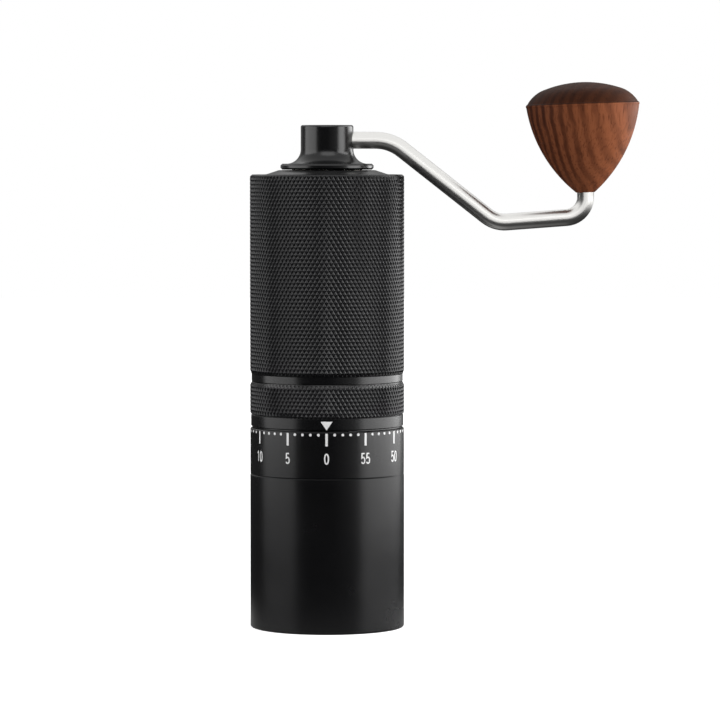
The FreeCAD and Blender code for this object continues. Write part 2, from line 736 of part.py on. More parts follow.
spider(
    "upper_bridge",
    "bridge_bore - bridge_wall",
    "bridge_bore - bridge_fit",
    "bridge_base",
    "bridge_height",
    "bridge_base + 1",
    "bridge_base",
    "bridge_height",
    "upper_bearing",
    "upper_bearing",
)
spider(
    "lower_bridge",
    "neck_bore - lower_bridge_wall",
    "neck_bore - bridge_fit",
    "lower_base",
    "lower_bridge_height",
    "lower_base",
    "lower_bearing",
    "bearing_width + seat_lip",
    "lower_bearing - 0.5",
    "lower_bearing",
)
snap_ring(
    "upper_bridge_snap_ring",
    "bridge_bore + snap_bite - snap_width - 0.05",
    "bridge_bore + snap_bite - 0.05",
    "bridge_top + 0.02",
    "snap_thickness - 0.04",
    "8",
    90.0,
)
snap_ring(
    "lower_bridge_snap_ring",
    "neck_bore + snap_bite - snap_width - 0.05",
    "neck_bore + snap_bite - 0.05",
    "lower_base - snap_thickness + 0.02",
    "snap_thickness - 0.04",
    "8",
    90.0,
)


# Ball bearings
def bearing(label, base):
    """Two grooved rings, the balls between them and the cage that spaces the balls."""
    middle = f"{base} + bearing_width / 2"
    low = f"{middle} - track_half"
    high = f"{middle} + track_half"
    top = f"{base} + bearing_width"
    inner_track = "shaft_radius + race_wall"
    outer_track = "race_outside - race_wall"
    inner_corners = [
        ("shaft_radius", base),
        (inner_track, base),
        (inner_track, low),
        (inner_track, high, "track_radius", -1),
        (inner_track, top),
        ("shaft_radius", top),
    ]
    outer_corners = [
        (outer_track, base),
        ("race_outside", base),
        ("race_outside", top),
        (outer_track, top),
        (outer_track, high),
        (outer_track, low, "track_radius", -1),
    ]
    keep(label + "_inner_ring", turned(label + "_inner_ring", inner_corners))
    keep(label + "_outer_ring", turned(label + "_outer_ring", outer_corners))
    ball = sphere(label + "_ball", "race_ball", "race_circle", "0", middle)
    keep(label + "_balls", around(label + "_balls", ball, BALLS))
    cage = tube(
        label + "_cage_ring",
        "race_circle - cage_thickness / 2",
        "race_circle + cage_thickness / 2",
        f"{middle} - cage_height / 2",
        "cage_height",
    )
    pocket = cylinder(label + "_pocket", "race_ball + race_clearance", "4", "race_circle - 2", "0", middle)
    pocket.Placement.Rotation = FreeCAD.Rotation(FreeCAD.Vector(0, 1, 0), 90)
    keep(label + "_cage", cut(label + "_cage", cage, around(label + "_pockets", pocket, BALLS)))


bearing("upper_bearing", "upper_bearing")
bearing("lower_bearing", "lower_bearing")

# Drive shaft with its circlips
clip_low = "lower_bearing - clip_thickness - 0.02"
clip_high = "upper_bearing + bearing_width + 0.02"
shaft_turned = turned(
    "drive_shaft_turned",
    [
        ("0", "burr_base - washer_thickness - nut_height - 1"),
        ("stub_radius - 0.4", "burr_base - washer_thickness - nut_height - 1"),
        ("stub_radius", "burr_base - washer_thickness - nut_height - 0.6"),
        ("stub_radius", "burr_base + 0.5"),
        ("shaft_radius", "burr_base + 0.5"),
        ("shaft_radius", clip_low + " - 0.02"),
        ("shaft_radius - clip_bite", clip_low + " - 0.02"),
        ("shaft_radius - clip_bite", clip_low + " + clip_thickness + 0.02"),
        ("shaft_radius", clip_low + " + clip_thickness + 0.02"),
        ("shaft_radius", "lower_bearing + bearing_width"),
        ("collar_radius", "lower_bearing + bearing_width"),
        ("collar_radius", "lower_bearing + bearing_width + collar_height"),
        ("shaft_radius", "lower_bearing + bearing_width + collar_height"),
        ("shaft_radius", clip_high + " - 0.02"),
        ("shaft_radius - clip_bite", clip_high + " - 0.02"),
        ("shaft_radius - clip_bite", clip_high + " + clip_thickness + 0.02"),
        ("shaft_radius", clip_high + " + clip_thickness + 0.02"),
        ("shaft_radius", "shaft_top - 0.5"),
        ("shaft_radius - 0.5", "shaft_top"),
        ("0", "shaft_top"),
    ],
)
hex_blank = cylinder("hex_blank", "shaft_radius + 1", "hex_length + 1", "0", "0", "hex_base")
hex_bar = hexagon("hex_bar", "hex_across", "hex_length + 2", "hex_base - 0.5")
burr_flat_cut = block("burr_flat_cut", "burr_flat", "2", "12", "burr_base", "burr_height")
shaft_tools = fuse("shaft_tools", [cut("hex_waste", hex_blank, hex_bar), burr_flat_cut])
keep("drive_shaft", cut("drive_shaft", shaft_turned, shaft_tools))
clip_rings = []
for name, base in (("low_clip", clip_low), ("high_clip", clip_high)):
    clip = tube(
        name,
        "shaft_radius - clip_bite + 0.02",
        "shaft_radius - clip_bite + clip_width",
        base,
        "clip_thickness",
    )
    opening = block(name + "_gap", "0", "shaft_radius + clip_width + 1", "3", base + " - 1", "clip_thickness + 2")
    clip_rings.append(cut(name + "_open", clip, opening))
doc.recompute()
keep("shaft_circlips", feature("shaft_circlips", Part.makeCompound([clip.Shape for clip in clip_rings])))


# Burrs
def cutting(height):
    """Radius of the cutting edges of the outer burr at a height."""
    return mm("cutting_radius") - mm("cutting_taper") * (height - mm("outer_burr_base"))


def fluted(count, levels):
    """A twisted star between the levels, each (height, crest, root, twist)."""
    wires = [star(count, crest, root, height, twist) for height, crest, root, twist in levels]
    return Part.makeLoft(wires, True, True)


burr_low = mm("burr_base")
burr_high = mm("burr_top")
burr_mid = mm("outer_burr_base") + 5.0
low_crest = cutting(burr_low) - mm("grind_gap")
mid_crest = cutting(burr_mid) - mm("grind_gap")
twist = mm("burr_twist")
inner_levels = [
    (burr_low, low_crest, low_crest - 1.2, 0.0),
    (burr_mid, mid_crest, mid_crest - 2.2, 0.35 * twist),
    (burr_high, mm("burr_crown"), mm("burr_crown") - 1.6, twist),
]
inner_cone = feature("inner_burr_cone", fluted(INNER_FLUTES, inner_levels))
burr_bore = cylinder("burr_bore", "shaft_radius + 0.03", "burr_height + 2", "0", "0", "burr_base - 1")
burr_key = block("burr_key", "burr_flat + 0.03", "2", "12", "burr_base - 2", "burr_height + 4")
keep("inner_burr", cut("inner_burr", inner_cone, cut("burr_hole", burr_bore, burr_key)))
keep(
    "burr_washer",
    tube("burr_washer", "stub_radius + 0.03", "washer_radius", "burr_base - washer_thickness", "washer_thickness"),
)
nut_bar = hexagon("nut_bar", "nut_across", "nut_height", "burr_base - washer_thickness - nut_height")
nut_hole = cylinder(
    "nut_hole", "stub_radius + 0.03", "nut_height + 2", "0", "0", "burr_base - washer_thickness - nut_height - 1"
)
keep("burr_nut", cut("burr_nut", nut_bar, nut_hole))

ring_low = mm("outer_burr_base")
ring_high = mm("flange_base")
tooth = mm("tooth_depth")
outer_levels = [
    (ring_low - 0.5, cutting(ring_low - 0.5) + 0.4 * tooth, cutting(ring_low - 0.5), 0.0),
    (burr_mid, cutting(burr_mid) + 0.7 * tooth, cutting(burr_mid), -6.0),
    (ring_high + 0.5, cutting(burr_mid) + 1.6 * tooth, cutting(burr_mid), -20.0),
]
outer_blank = cylinder("outer_burr_blank", "outer_burr_radius", "outer_burr_height", "0", "0", "outer_burr_base")
outer_bore = feature("outer_burr_bore", fluted(OUTER_TEETH, outer_levels))
screw_circle = "carrier_radius - carrier_wall - screw_head - 0.35"
screw_hole = cylinder(
    "burr_screw_hole", "screw_radius + 0.03", "screw_length", screw_circle, "0", "lug_base - screw_length"
)
outer_tools = fuse("outer_burr_tools", [outer_bore, around("outer_burr_holes", screw_hole, ARMS)])
keep("outer_burr", cut("outer_burr", outer_blank, outer_tools))
screw_turned = turned(
    "burr_screw_turned",
    [
        ("0", "lug_base - screw_length + 0.2"),
        ("screw_radius", "lug_base - screw_length + 0.2"),
        ("screw_radius", "lug_base - screw_head + screw_radius"),
        ("screw_head", "lug_base"),
        ("0", "lug_base"),
    ],
)
screw_slot = block("burr_screw_slot", "-2", "4", "0.5", "lug_base - 0.5", "1")
screw = cut("burr_screw", screw_turned, screw_slot)
doc.recompute()
screws = []
for k in range(ARMS):
    copy = screw.Shape.copy()
    copy.translate(FreeCAD.Vector(mm(screw_circle), 0, 0))
    copy.rotate(ORIGIN, UP, 360.0 * k / ARMS)
    screws.append(copy)
keep("outer_burr_screws", feature("outer_burr_screws", Part.makeCompound(screws)))

# Carrier of the outer burr: its lugs run in the slots of the neck and in the thread of the adjusting ring
carrier_turned = turned(
    "burr_carrier_turned",
    [
        ("carrier_radius - carrier_wall", "carrier_base"),
        ("carrier_radius", "carrier_base"),
        ("carrier_radius", "carrier_top"),
        ("carrier_radius - carrier_wall", "carrier_top"),
        ("carrier_radius - carrier_wall", "lug_base"),
        ("carrier_radius - carrier_throat", "lug_base"),
        ("carrier_radius - carrier_throat", "flange_base"),
        ("carrier_radius - carrier_wall", "flange_base"),
    ],
)
lug_bar = block(
    "lug_bar",
    "carrier_radius - carrier_wall / 2",
    "thread_radius - carrier_radius + carrier_wall",
    "lug_width",
    "lug_base",
    "lug_height",
)
lug_limit = cylinder("lug_limit", "thread_radius - running_fit", "lug_height", "0", "0", "lug_base")
lug = common("lug", lug_bar, lug_limit)
sink = doc.addObject("Part::Cone", "screw_sink")
sink.setExpression("Radius1", bound("screw_radius + 0.03"))
sink.setExpression("Radius2", bound("screw_head + 0.33"))
sink.setExpression("Height", bound("screw_head - screw_radius + 0.3"))
at(sink, screw_circle, "0", "lug_base - screw_head + screw_radius")
carrier_way = cylinder(
    "carrier_screw_hole", "screw_radius + 0.03", "carrier_floor + 2", screw_circle, "0", "flange_base - 1"
)
carrier_body = fuse("burr_carrier_body", [carrier_turned, around("lugs", lug, ARMS, ARM_START)])
carrier_tools = fuse(
    "burr_carrier_tools", [around("screw_sinks", sink, ARMS), around("carrier_holes", carrier_way, ARMS)]
)
keep("burr_carrier", cut("burr_carrier", carrier_body, carrier_tools))
spring_foot = mm("lug_base + spring_seat")
spring_room = mm("lower_base - lug_base - 2 * spring_seat")
carrier_coil = coil(
    "carrier_coil", mm("spring_radius"), mm("spring_wire"), spring_foot, spring_room, mm("spring_turns")
)
keep("carrier_spring", feature("carrier_spring", carrier_coil))

# Lid with its bush and sealing ring
seal_middle = "mouth_base + (mouth_depth - lid_rim) / 2"
seal_inside = "lid_radius + seal_stretch - seal_wire"
lid_turned = turned(
    "hopper_lid",
    [
        ("lid_radius - lid_skirt", "mouth_base"),
        ("lid_radius", "mouth_base"),
        ("lid_radius", seal_middle + " - seal_wire / 2"),
        (seal_inside, seal_middle + " - seal_wire / 2"),
        (seal_inside, seal_middle + " + seal_wire / 2"),
        ("lid_radius", seal_middle + " + seal_wire / 2"),
        ("lid_radius", "body_top - lid_rim - seam_chamfer"),
        ("lid_radius - seam_chamfer", "body_top - lid_rim"),
        ("lid_slope_radius", "body_top + lid_slope_rise"),
        ("lid_crown_radius", "lid_top"),
        ("bush_flange + 0.1", "lid_top"),
        ("bush_flange + 0.1", "lid_top - bush_flange_height + hub_gap - running_fit"),
        ("bush_outside", "lid_top - bush_flange_height + hub_gap - running_fit"),
        ("bush_outside", "mouth_base"),
        ("boss_radius", "mouth_base"),
        ("boss_radius", "body_top - lid_skin"),
        ("lid_radius - lid_skirt", "body_top - lid_skin"),
    ],
)
keep("hopper_lid", lid_turned)
keep("lid_oring", torus("lid_oring", "lid_radius + seal_stretch - seal_wire / 2", "seal_wire / 2 - 0.02", seal_middle))
bush_deck = "hub_base - running_fit"
keep(
    "lid_bush",
    turned(
        "lid_bush",
        [
            ("bush_bore", "mouth_base"),
            ("bush_outside", "mouth_base"),
            ("bush_outside", bush_deck + " - bush_flange_height"),
            ("bush_flange", bush_deck + " - bush_flange_height"),
            ("bush_flange", bush_deck),
            ("bush_bore", bush_deck),
        ],
    ),
)

# Crank hub with its socket, grub screw and circlip
hub_clip = "mouth_base - running_fit - clip_thickness"
hub_turned = turned(
    "crank_hub_turned",
    [
        ("0", "stem_base"),
        ("stem_radius - 0.3", "stem_base"),
        ("stem_radius", "stem_base + 0.3"),
        ("stem_radius", hub_clip + " - 0.02"),
        ("stem_radius - clip_bite", hub_clip + " - 0.02"),
        ("stem_radius - clip_bite", hub_clip + " + clip_thickness + 0.02"),
        ("stem_radius", hub_clip + " + clip_thickness + 0.02"),
        ("stem_radius", "hub_base"),
        ("hub_flange - hub_bevel", "hub_base"),
        ("hub_flange", "hub_base + hub_bevel"),
        ("hub_flange", "hub_deck - hub_bevel"),
        ("hub_flange - hub_bevel", "hub_deck"),
        ("hub_neck + hub_sweep", "hub_deck"),
        ("hub_neck", "hub_deck + hub_sweep", "hub_sweep", -1),
        ("hub_neck", "hub_top - hub_edge"),
        ("hub_neck - hub_edge", "hub_top", "hub_edge", 1),
        ("0", "hub_top"),
    ],
)
hub_socket = cylinder("hub_socket", "socket_radius + 0.02", "socket_length + 1", "0", "0", "stem_base - 1")
hub_grub = cylinder("hub_grub", "grub_radius + 0.02", "rod_height - socket_top", "0", "0", "socket_top - 0.5")
shoulder_spot = FreeCAD.Vector(mm("shoulder_reach"), 0, mm("body_top + shoulder_rise"))
rod_spot = FreeCAD.Vector(0, 0, mm("rod_height"))
rod_way = (shoulder_spot - rod_spot).normalize()
rod_hole = cylinder("rod_hole", "rod_radius + 0.02", "rod_tail + hub_neck + 3", "0", "0", "0")
tail_spot = rod_spot - rod_way * (mm("rod_tail") + 0.05)
for place in ("x", "y", "z"):
    rod_hole.setExpression("Placement.Base." + place, None)
rod_hole.Placement = FreeCAD.Placement(tail_spot, FreeCAD.Rotation(UP, rod_way))
keep("crank_hub", cut("crank_hub", hub_turned, fuse("hub_holes", [hub_socket, hub_grub, rod_hole])))
socket_bar = cylinder("socket_bar", "socket_radius", "socket_length", "0", "0", "stem_base")
socket_hex = hexagon("socket_hex", "hex_across + 2 * hex_play", "socket_length + 2", "stem_base - 1")
keep("drive_socket", cut("drive_socket", socket_bar, socket_hex))
grub_bar = cylinder("grub_bar", "grub_radius", "grub_length", "0", "0", "socket_top + 0.1")
grub_key = hexagon("grub_key", "2.5", "2.5", "socket_top - 0.4")
keep("arm_grub_screw", cut("arm_grub_screw", grub_bar, grub_key))
snap_ring(
    "lid_circlip",
    "stem_radius - clip_bite + 0.02",
    "stem_radius - clip_bite + clip_width",
    hub_clip,
    "clip_thickness",
    "5",
    180.0,
)

# Crank arm: a round rod with three bends, turned down to a spigot inside the knob
lean = math.radians(mm("knob_lean"))
elbow_spot = FreeCAD.Vector(mm("elbow_reach"), 0, mm("body_top - elbow_drop"))
wrist_spot = FreeCAD.Vector(mm("wrist_reach"), 0, mm("body_top - wrist_drop"))
knob_way = FreeCAD.Vector(-math.sin(lean), 0, math.cos(lean))
foot_spot = wrist_spot + knob_way * mm("knob_stand + bush_start - running_fit")
bends = [
    (shoulder_spot, mm("shoulder_bend")),
    (elbow_spot, mm("elbow_bend")),
    (wrist_spot, mm("wrist_bend")),
]
rod_start = rod_spot - rod_way * mm("rod_tail")
edges = []
here = rod_start
for k, (corner, radius) in enumerate(bends):
    following = bends[k + 1][0] if k + 1 < len(bends) else foot_spot
    coming = (corner - here).normalize()
    going = (following - corner).normalize()
    setback = radius * math.tan(coming.getAngle(going) / 2)
    first = corner - coming * setback
    last = corner + going * setback
    inward = (going - coming).normalize()
    centre = corner + inward * (radius / math.cos(coming.getAngle(going) / 2))
    middle = centre - inward * radius
    edges.append(Part.LineSegment(here, first).toShape())
    edges.append(Part.Arc(first, middle, last).toShape())
    here = last
edges.append(Part.LineSegment(here, foot_spot).toShape())
rod_path = Part.Wire(edges)
rod_section = Part.Wire([Part.makeCircle(mm("rod_radius"), rod_start, rod_way)])
rod_shape = rod_path.makePipeShell([rod_section], True, False)
end_length = mm("bush_length + running_fit + 1.6")
end_shape = Part.makeCylinder(mm("spigot_radius"), end_length + 1, foot_spot - knob_way, knob_way)
clip_spot = wrist_spot + knob_way * mm("knob_stand + bush_start + bush_length + running_fit")
clip_blank = Part.makeCylinder(mm("spigot_radius") + 1, mm("ring_thickness") + 0.04, clip_spot, knob_way)
clip_core = Part.makeCylinder(mm("spigot_radius - ring_bite"), mm("ring_thickness") + 0.04, clip_spot, knob_way)
keep("crank_arm", feature("crank_arm", rod_shape.fuse(end_shape).cut(clip_blank.cut(clip_core))))


# Knob with its bush and snap ring, turned on their own axis and set on the end of the rod
def on_rod(item):
    """Sets a piece of the knob on the leaning end of the rod."""
    item.Placement = FreeCAD.Placement(ORIGIN, FreeCAD.Rotation(FreeCAD.Vector(0, 1, 0), -mm("knob_lean")))
    return at(item, "wrist_reach", "0", "body_top - wrist_drop")


bore = "rod_radius + knob_play"
bore_top = "knob_stand + bush_start + bush_length + bore_spare"
knob_top = "knob_stand + knob_height"
keep(
    "knob",
    on_rod(
        turned(
            "knob",
            [
                (bore, "knob_stand"),
                ("knob_tip", "knob_stand"),
                ("knob_radius", "knob_stand + knob_rim - knob_edge", "knob_flank", 1),
                ("knob_radius - 0.5 * knob_edge", "knob_stand + knob_rim + 0.6 * knob_edge", "knob_edge", 1),
                ("knob_shoulder", knob_top + " - knob_shoulder_drop", "knob_turn", 1),
                ("0", knob_top, "knob_crown", 1),
                ("0", bore_top),
                (bore, bore_top),
            ],
        )
    ),
)
keep(
    "knob_bush",
    on_rod(
        tube(
            "knob_bush",
            "spigot_radius + running_fit",
            "rod_radius + knob_play",
            "knob_stand + bush_start",
            "bush_length",
        )
    ),
)
ring_foot = "knob_stand + bush_start + bush_length + running_fit + 0.02"
ring_plain = tube(
    "knob_ring_plain", "spigot_radius - ring_bite + 0.02", "rod_radius + 0.05", ring_foot, "ring_thickness"
)
ring_gap_block = block("knob_ring_gap", "0", "rod_radius + 1", "1.5", ring_foot + " - 1", "ring_thickness + 2")
keep("knob_retaining_ring", on_rod(cut("knob_retaining_ring", ring_plain, ring_gap_block)))

doc.recompute()
for item in doc.Objects:
    if "Invalid" in item.State or "Error" in item.State:
        raise RuntimeError(item.Name + " did not build: " + str(item.State))
os.makedirs("parts", exist_ok=True)
for label, item in NODES.items():
    shape = item.Shape
    if shape.isNull() or not shape.isValid() or not shape.Solids:
        raise RuntimeError(label + " is not a sound solid")
    shape.exportStep("parts/" + label + ".step")
    print(f"{label}: {len(shape.Solids)} solids, {shape.Volume / 1000:.3f} cm3")
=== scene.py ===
"""Looks of a hand crank coffee grinder: knurling, dial marks, finishes, floor, lamps and camera."""

import math

import bmesh
import bpy
from bpy.props import FloatProperty, FloatVectorProperty, IntProperty, PointerProperty, StringProperty
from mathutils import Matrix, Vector


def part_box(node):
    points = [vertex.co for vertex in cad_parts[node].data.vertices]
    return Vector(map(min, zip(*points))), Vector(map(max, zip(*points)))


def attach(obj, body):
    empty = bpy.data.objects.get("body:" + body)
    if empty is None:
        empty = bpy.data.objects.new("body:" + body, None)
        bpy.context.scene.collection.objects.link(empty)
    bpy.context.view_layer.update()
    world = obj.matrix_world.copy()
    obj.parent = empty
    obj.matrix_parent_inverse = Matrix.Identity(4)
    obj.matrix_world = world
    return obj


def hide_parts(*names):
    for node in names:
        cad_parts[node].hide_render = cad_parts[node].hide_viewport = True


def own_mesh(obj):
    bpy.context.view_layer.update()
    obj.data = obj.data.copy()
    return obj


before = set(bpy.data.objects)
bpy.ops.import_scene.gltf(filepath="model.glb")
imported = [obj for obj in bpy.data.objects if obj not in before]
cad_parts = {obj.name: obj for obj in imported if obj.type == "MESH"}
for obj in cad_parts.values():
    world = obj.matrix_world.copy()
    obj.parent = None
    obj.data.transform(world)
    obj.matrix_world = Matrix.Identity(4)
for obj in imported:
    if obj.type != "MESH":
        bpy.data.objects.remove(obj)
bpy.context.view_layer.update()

bl_info = {
    "name": "Hand crank coffee grinder",
    "version": (1, 0, 0),
    "blender": (4, 5, 0),
    "location": "View3D > Sidebar > Grinder",
    "description": "Dresses the packed grinder with its knurling, dial marks and finishes",
    "category": "Object",
}

BODY_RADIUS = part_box("catch_cup")[1].x
DIAL_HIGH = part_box("dial_ring")[1]
BARREL_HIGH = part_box("grip_barrel")[1]
RING_LOW, RING_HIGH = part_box("adjusting_ring")
KNOB_LOW, KNOB_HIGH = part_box("knob")
FRONT = -math.pi / 2
# Divisions of the dial, and how many lie between two numbers
DIVISIONS = 60
NUMBERED = 5
# Smooth index band below the body's skin
INDEX_INSET = 0.0003
# A mark's fill stands clear of the walls and of the floor of its pocket
FILL_GAP = 0.00002
FLOOR_GAP = 0.000005
# Printed numbers stand above the skin
INK_HEIGHT = 0.00002
# A wave texture's bands are this far apart, divided by its scale
WAVE_PITCH = 0.314


class KnurlSizes(bpy.types.PropertyGroup):
    """Sizes of the diamond knurl on the grip and on the adjusting ring."""

    around: IntProperty(name="Diamonds around", description="Diamonds in one row round the barrel", default=108, min=12)
    rise: FloatProperty(
        name="Diamond height", description="Height of one diamond", default=0.00264, unit="LENGTH", precision=5
    )
    depth: FloatProperty(
        name="Depth", description="Crests above the roots", default=0.0003, unit="LENGTH", precision=5
    )
    crest: FloatProperty(
        name="Crest share", description="Share of a diamond that its flat crest takes", default=0.28, subtype="FACTOR"
    )
    grip: FloatProperty(
        name="Grip length", description="Knurled length of the grip with its bevel", default=0.0684, unit="LENGTH"
    )
    band: FloatProperty(
        name="Band height", description="Knurled height of the adjusting ring", default=0.0111, unit="LENGTH"
    )
    bevel: FloatProperty(
        name="Grip bevel", description="Height over which the grip's knurl runs out", default=0.0013, unit="LENGTH",
        precision=5,
    )
    band_bevel: FloatProperty(
        name="Band bevel", description="Height over which the band's knurl runs out", default=0.0010, unit="LENGTH",
        precision=5,
    )


class MarkSizes(bpy.types.PropertyGroup):
    """Sizes of the filled marks on the dial and on the index band."""

    tick_width: FloatProperty(name="Tick width", description="Width of a tick", default=0.00085, unit="LENGTH")
    tick_height: FloatProperty(name="Tick height", description="Length of a tick", default=0.0043, unit="LENGTH")
    tick_top: FloatProperty(
        name="Tick top", description="Upper end of the marks below the dial's top", default=0.0004, unit="LENGTH"
    )
    dot_radius: FloatProperty(name="Dot radius", description="Radius of a dot", default=0.0005, unit="LENGTH")
    depth: FloatProperty(name="Depth", description="Depth of the marks", default=0.00012, unit="LENGTH", precision=6)
    digit_height: FloatProperty(name="Digit height", description="Height of a digit", default=0.0038, unit="LENGTH")
    digit_width: FloatProperty(name="Digit width", description="Width of a digit", default=0.0017, unit="LENGTH")
    digit_stroke: FloatProperty(name="Digit stroke", description="Width of its line", default=0.00044, unit="LENGTH")
    digit_space: FloatProperty(
        name="Digit space", description="Space between digits", default=0.00022, unit="LENGTH", precision=5
    )
    digit_drop: FloatProperty(
        name="Digit drop", description="Middle of the digits below the dial's top", default=0.00905, unit="LENGTH"
    )
    index_width: FloatProperty(name="Index width", description="Width of the triangle", default=0.0041, unit="LENGTH")
    index_height: FloatProperty(name="Index height", description="Height of it", default=0.0030, unit="LENGTH")
    index_rise: FloatProperty(
        name="Index rise", description="Tip of the triangle above the ring's foot", default=0.00045, unit="LENGTH"
    )


class FinishColours(bpy.types.PropertyGroup):
    """Colours of the finishes, as sRGB hex values."""

    anodised: StringProperty(name="Anodised black", description="Dyed oxide of the body", default="#060607")
    handled: StringProperty(name="Handled black", description="Oxide where hands dull it", default="#08080A")
    # Paler colour given to the knurl's crests
    worn: StringProperty(name="Worn crest", description="Oxide on the knurl's rubbed crests", default="#1B1B1D")
    mark: StringProperty(name="Marks", description="Fill of ticks, digits and triangle", default="#E0E0E0")
    steel: StringProperty(name="Polished steel", description="Polished rod", default="#EFEEEB")
    walnut_light: StringProperty(name="Walnut, early wood", description="Lighter wood", default="#80492D")
    walnut_dark: StringProperty(name="Walnut, late wood", description="Darker wood", default="#37180B")
    walnut_pore: StringProperty(name="Walnut, pores", description="Open pores", default="#2D1308")
    # Dark oiled end grain, also used as painted shade on the upward faces of the knob
    walnut_end: StringProperty(name="Walnut, end grain", description="Oiled end grain", default="#1E0D06")
    floor: StringProperty(name="Floor", description="Matt paper floor", default="#F2F2F2")
    fibre: StringProperty(name="Floor fibre", description="Fibres in the paper", default="#EFEFEF")


class StageSizes(bpy.types.PropertyGroup):
    """Camera and floor."""

    camera: FloatVectorProperty(
        name="Camera", description="Place of the camera", default=(0.0113, -1.374, 0.165), subtype="TRANSLATION"
    )
    pitch: FloatProperty(
        name="Pitch", description="Camera below the horizon", default=math.radians(3.04), subtype="ANGLE"
    )
    lens: FloatProperty(name="Lens", description="Focal length in mm on a 36 mm sensor", default=199.9)
    floor: FloatProperty(name="Floor", description="Side of the floor", default=6.0, unit="LENGTH")


class GrinderSettings(bpy.types.PropertyGroup):
    """Everything that a user would change."""

    knurl: PointerProperty(type=KnurlSizes)
    marks: PointerProperty(type=MarkSizes)
    colours: PointerProperty(type=FinishColours)
    stage: PointerProperty(type=StageSizes)


def linear(code):
    """An sRGB hex value as a linear colour."""
    parts = [int(code[k:k + 2], 16) / 255 for k in (1, 3, 5)]
    return [c / 12.92 if c <= 0.04045 else ((c + 0.055) / 1.055) ** 2.4 for c in parts] + [1.0]


def node(tree, kind, inputs=None, **settings):
    """Adds a node with its settings, values and links."""
    item = tree.nodes.new(kind)
    for name, value in settings.items():
        setattr(item, name, value)
    for key, value in (inputs or {}).items():
        if isinstance(value, bpy.types.NodeSocket):
            tree.links.new(value, item.inputs[key])
        else:
            item.inputs[key].default_value = value
    return item


def begin(name):
    """An empty material and its node tree."""
    material = bpy.data.materials.new(name)
    material.use_nodes = True
    material.node_tree.nodes.clear()
    return material, material.node_tree


def dress(material, *names):
    """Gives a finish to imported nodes."""
    for name in names:
        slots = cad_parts[name].data.materials
        slots.clear()
        slots.append(material)


def piece(name, mesh, material, body):
    """A new piece that rides on a body."""
    item = bpy.data.objects.new(name, mesh)
    bpy.context.collection.objects.link(item)
    mesh.materials.clear()
    mesh.materials.append(material)
    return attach(item, body)


def spread(radius, angle, height):
    """A point from its radius, angle and height."""
    return Vector((radius * math.cos(angle), radius * math.sin(angle), height))


def anodised(name, knurled):
    """Bead blasted and black anodised aluminium: a dyed oxide that looks soft black, with a broad satin gloss.
    Blasting leaves pits of about 0.05 mm, too fine to show, so the grain is drawn at 0.5 mm.
    On the knurl, the crests are a little paler and smoother than the roots."""
    colours = bpy.context.scene.grinder.colours
    material, tree = begin(name)
    place = node(tree, "ShaderNodeTexCoord")
    grain = node(
        tree,
        "ShaderNodeTexNoise",
        {"Vector": place.outputs["Object"], "Scale": 1 / 0.0005, "Detail": 2.0, "Roughness": 0.6},
    )
    handling = node(
        tree,
        "ShaderNodeTexNoise",
        {"Vector": place.outputs["Object"], "Scale": 1 / 0.018, "Detail": 4.0, "Roughness": 0.55},
    )
    rough = node(
        tree,
        "ShaderNodeMapRange",
        {"Value": handling.outputs["Fac"], "From Min": 0.3, "From Max": 0.7, "To Min": 0.23, "To Max": 0.28},
    )
    bump = node(
        tree, "ShaderNodeBump", {"Height": grain.outputs["Fac"], "Strength": 0.12, "Distance": 0.00002}
    )
    if knurled:
        flat = node(
            tree,
            "ShaderNodeVectorMath",
            {0: place.outputs["Object"], 1: (1.0, 1.0, 0.0)},
            operation="MULTIPLY",
        )
        reach = node(tree, "ShaderNodeVectorMath", {0: flat.outputs["Vector"]}, operation="LENGTH")
        depth = bpy.context.scene.grinder.knurl.depth
        # The crests are coloured paler than the roots, by their distance from the axis
        mask = node(
            tree,
            "ShaderNodeMapRange",
            {"Value": reach.outputs["Value"], "From Min": BODY_RADIUS - depth, "From Max": BODY_RADIUS},
        )
        blend = mask.outputs["Result"]
    else:
        blend = handling.outputs["Fac"]
    colour = node(
        tree,
        "ShaderNodeMix",
        {0: blend, 6: linear(colours.anodised), 7: linear(colours.worn if knurled else colours.handled)},
        data_type="RGBA",
    )
    shader = node(
        tree,
        "ShaderNodeBsdfPrincipled",
        {
            "Base Color": colour.outputs[2],
            "Roughness": rough.outputs["Result"],
            "Specular IOR Level": 0.24 if knurled else 0.42,
            "Normal": bump.outputs["Normal"],
        },
    )
    node(tree, "ShaderNodeOutputMaterial", {"Surface": shader.outputs["BSDF"]})
    return material


def machined(name, code, roughness, spacing):
    """Turned or ground metal: fine tool lines ring the part, and the gloss breaks up a little between them."""
    material, tree = begin(name)
    place = node(tree, "ShaderNodeTexCoord")
    lines = node(
        tree,
        "ShaderNodeTexWave",
        {"Vector": place.outputs["Object"], "Scale": WAVE_PITCH / spacing, "Distortion": 1.5, "Detail": 2.0},
        bands_direction="Z",
    )
    cloud = node(
        tree, "ShaderNodeTexNoise", {"Vector": place.outputs["Object"], "Scale": 1 / 0.004, "Detail": 3.0}
    )
    rough = node(
        tree,
        "ShaderNodeMapRange",
        {"Value": cloud.outputs["Fac"], "To Min": roughness - 0.06, "To Max": roughness + 0.06},
    )
    tint = linear(code)
    dark = [0.82 * c for c in tint[:3]] + [1.0]
    colour = node(
        tree, "ShaderNodeMix", {0: cloud.outputs["Fac"], 6: dark, 7: tint}, data_type="RGBA"
    )
    bump = node(
        tree, "ShaderNodeBump", {"Height": lines.outputs["Fac"], "Strength": 0.15, "Distance": 0.00002}
    )
    shader = node(
        tree,
        "ShaderNodeBsdfPrincipled",
        {
            "Base Color": colour.outputs[2],
            "Metallic": 1.0,
            "Roughness": rough.outputs["Result"],
            "Normal": bump.outputs["Normal"],
        },
    )
    node(tree, "ShaderNodeOutputMaterial", {"Surface": shader.outputs["BSDF"]})
    return material


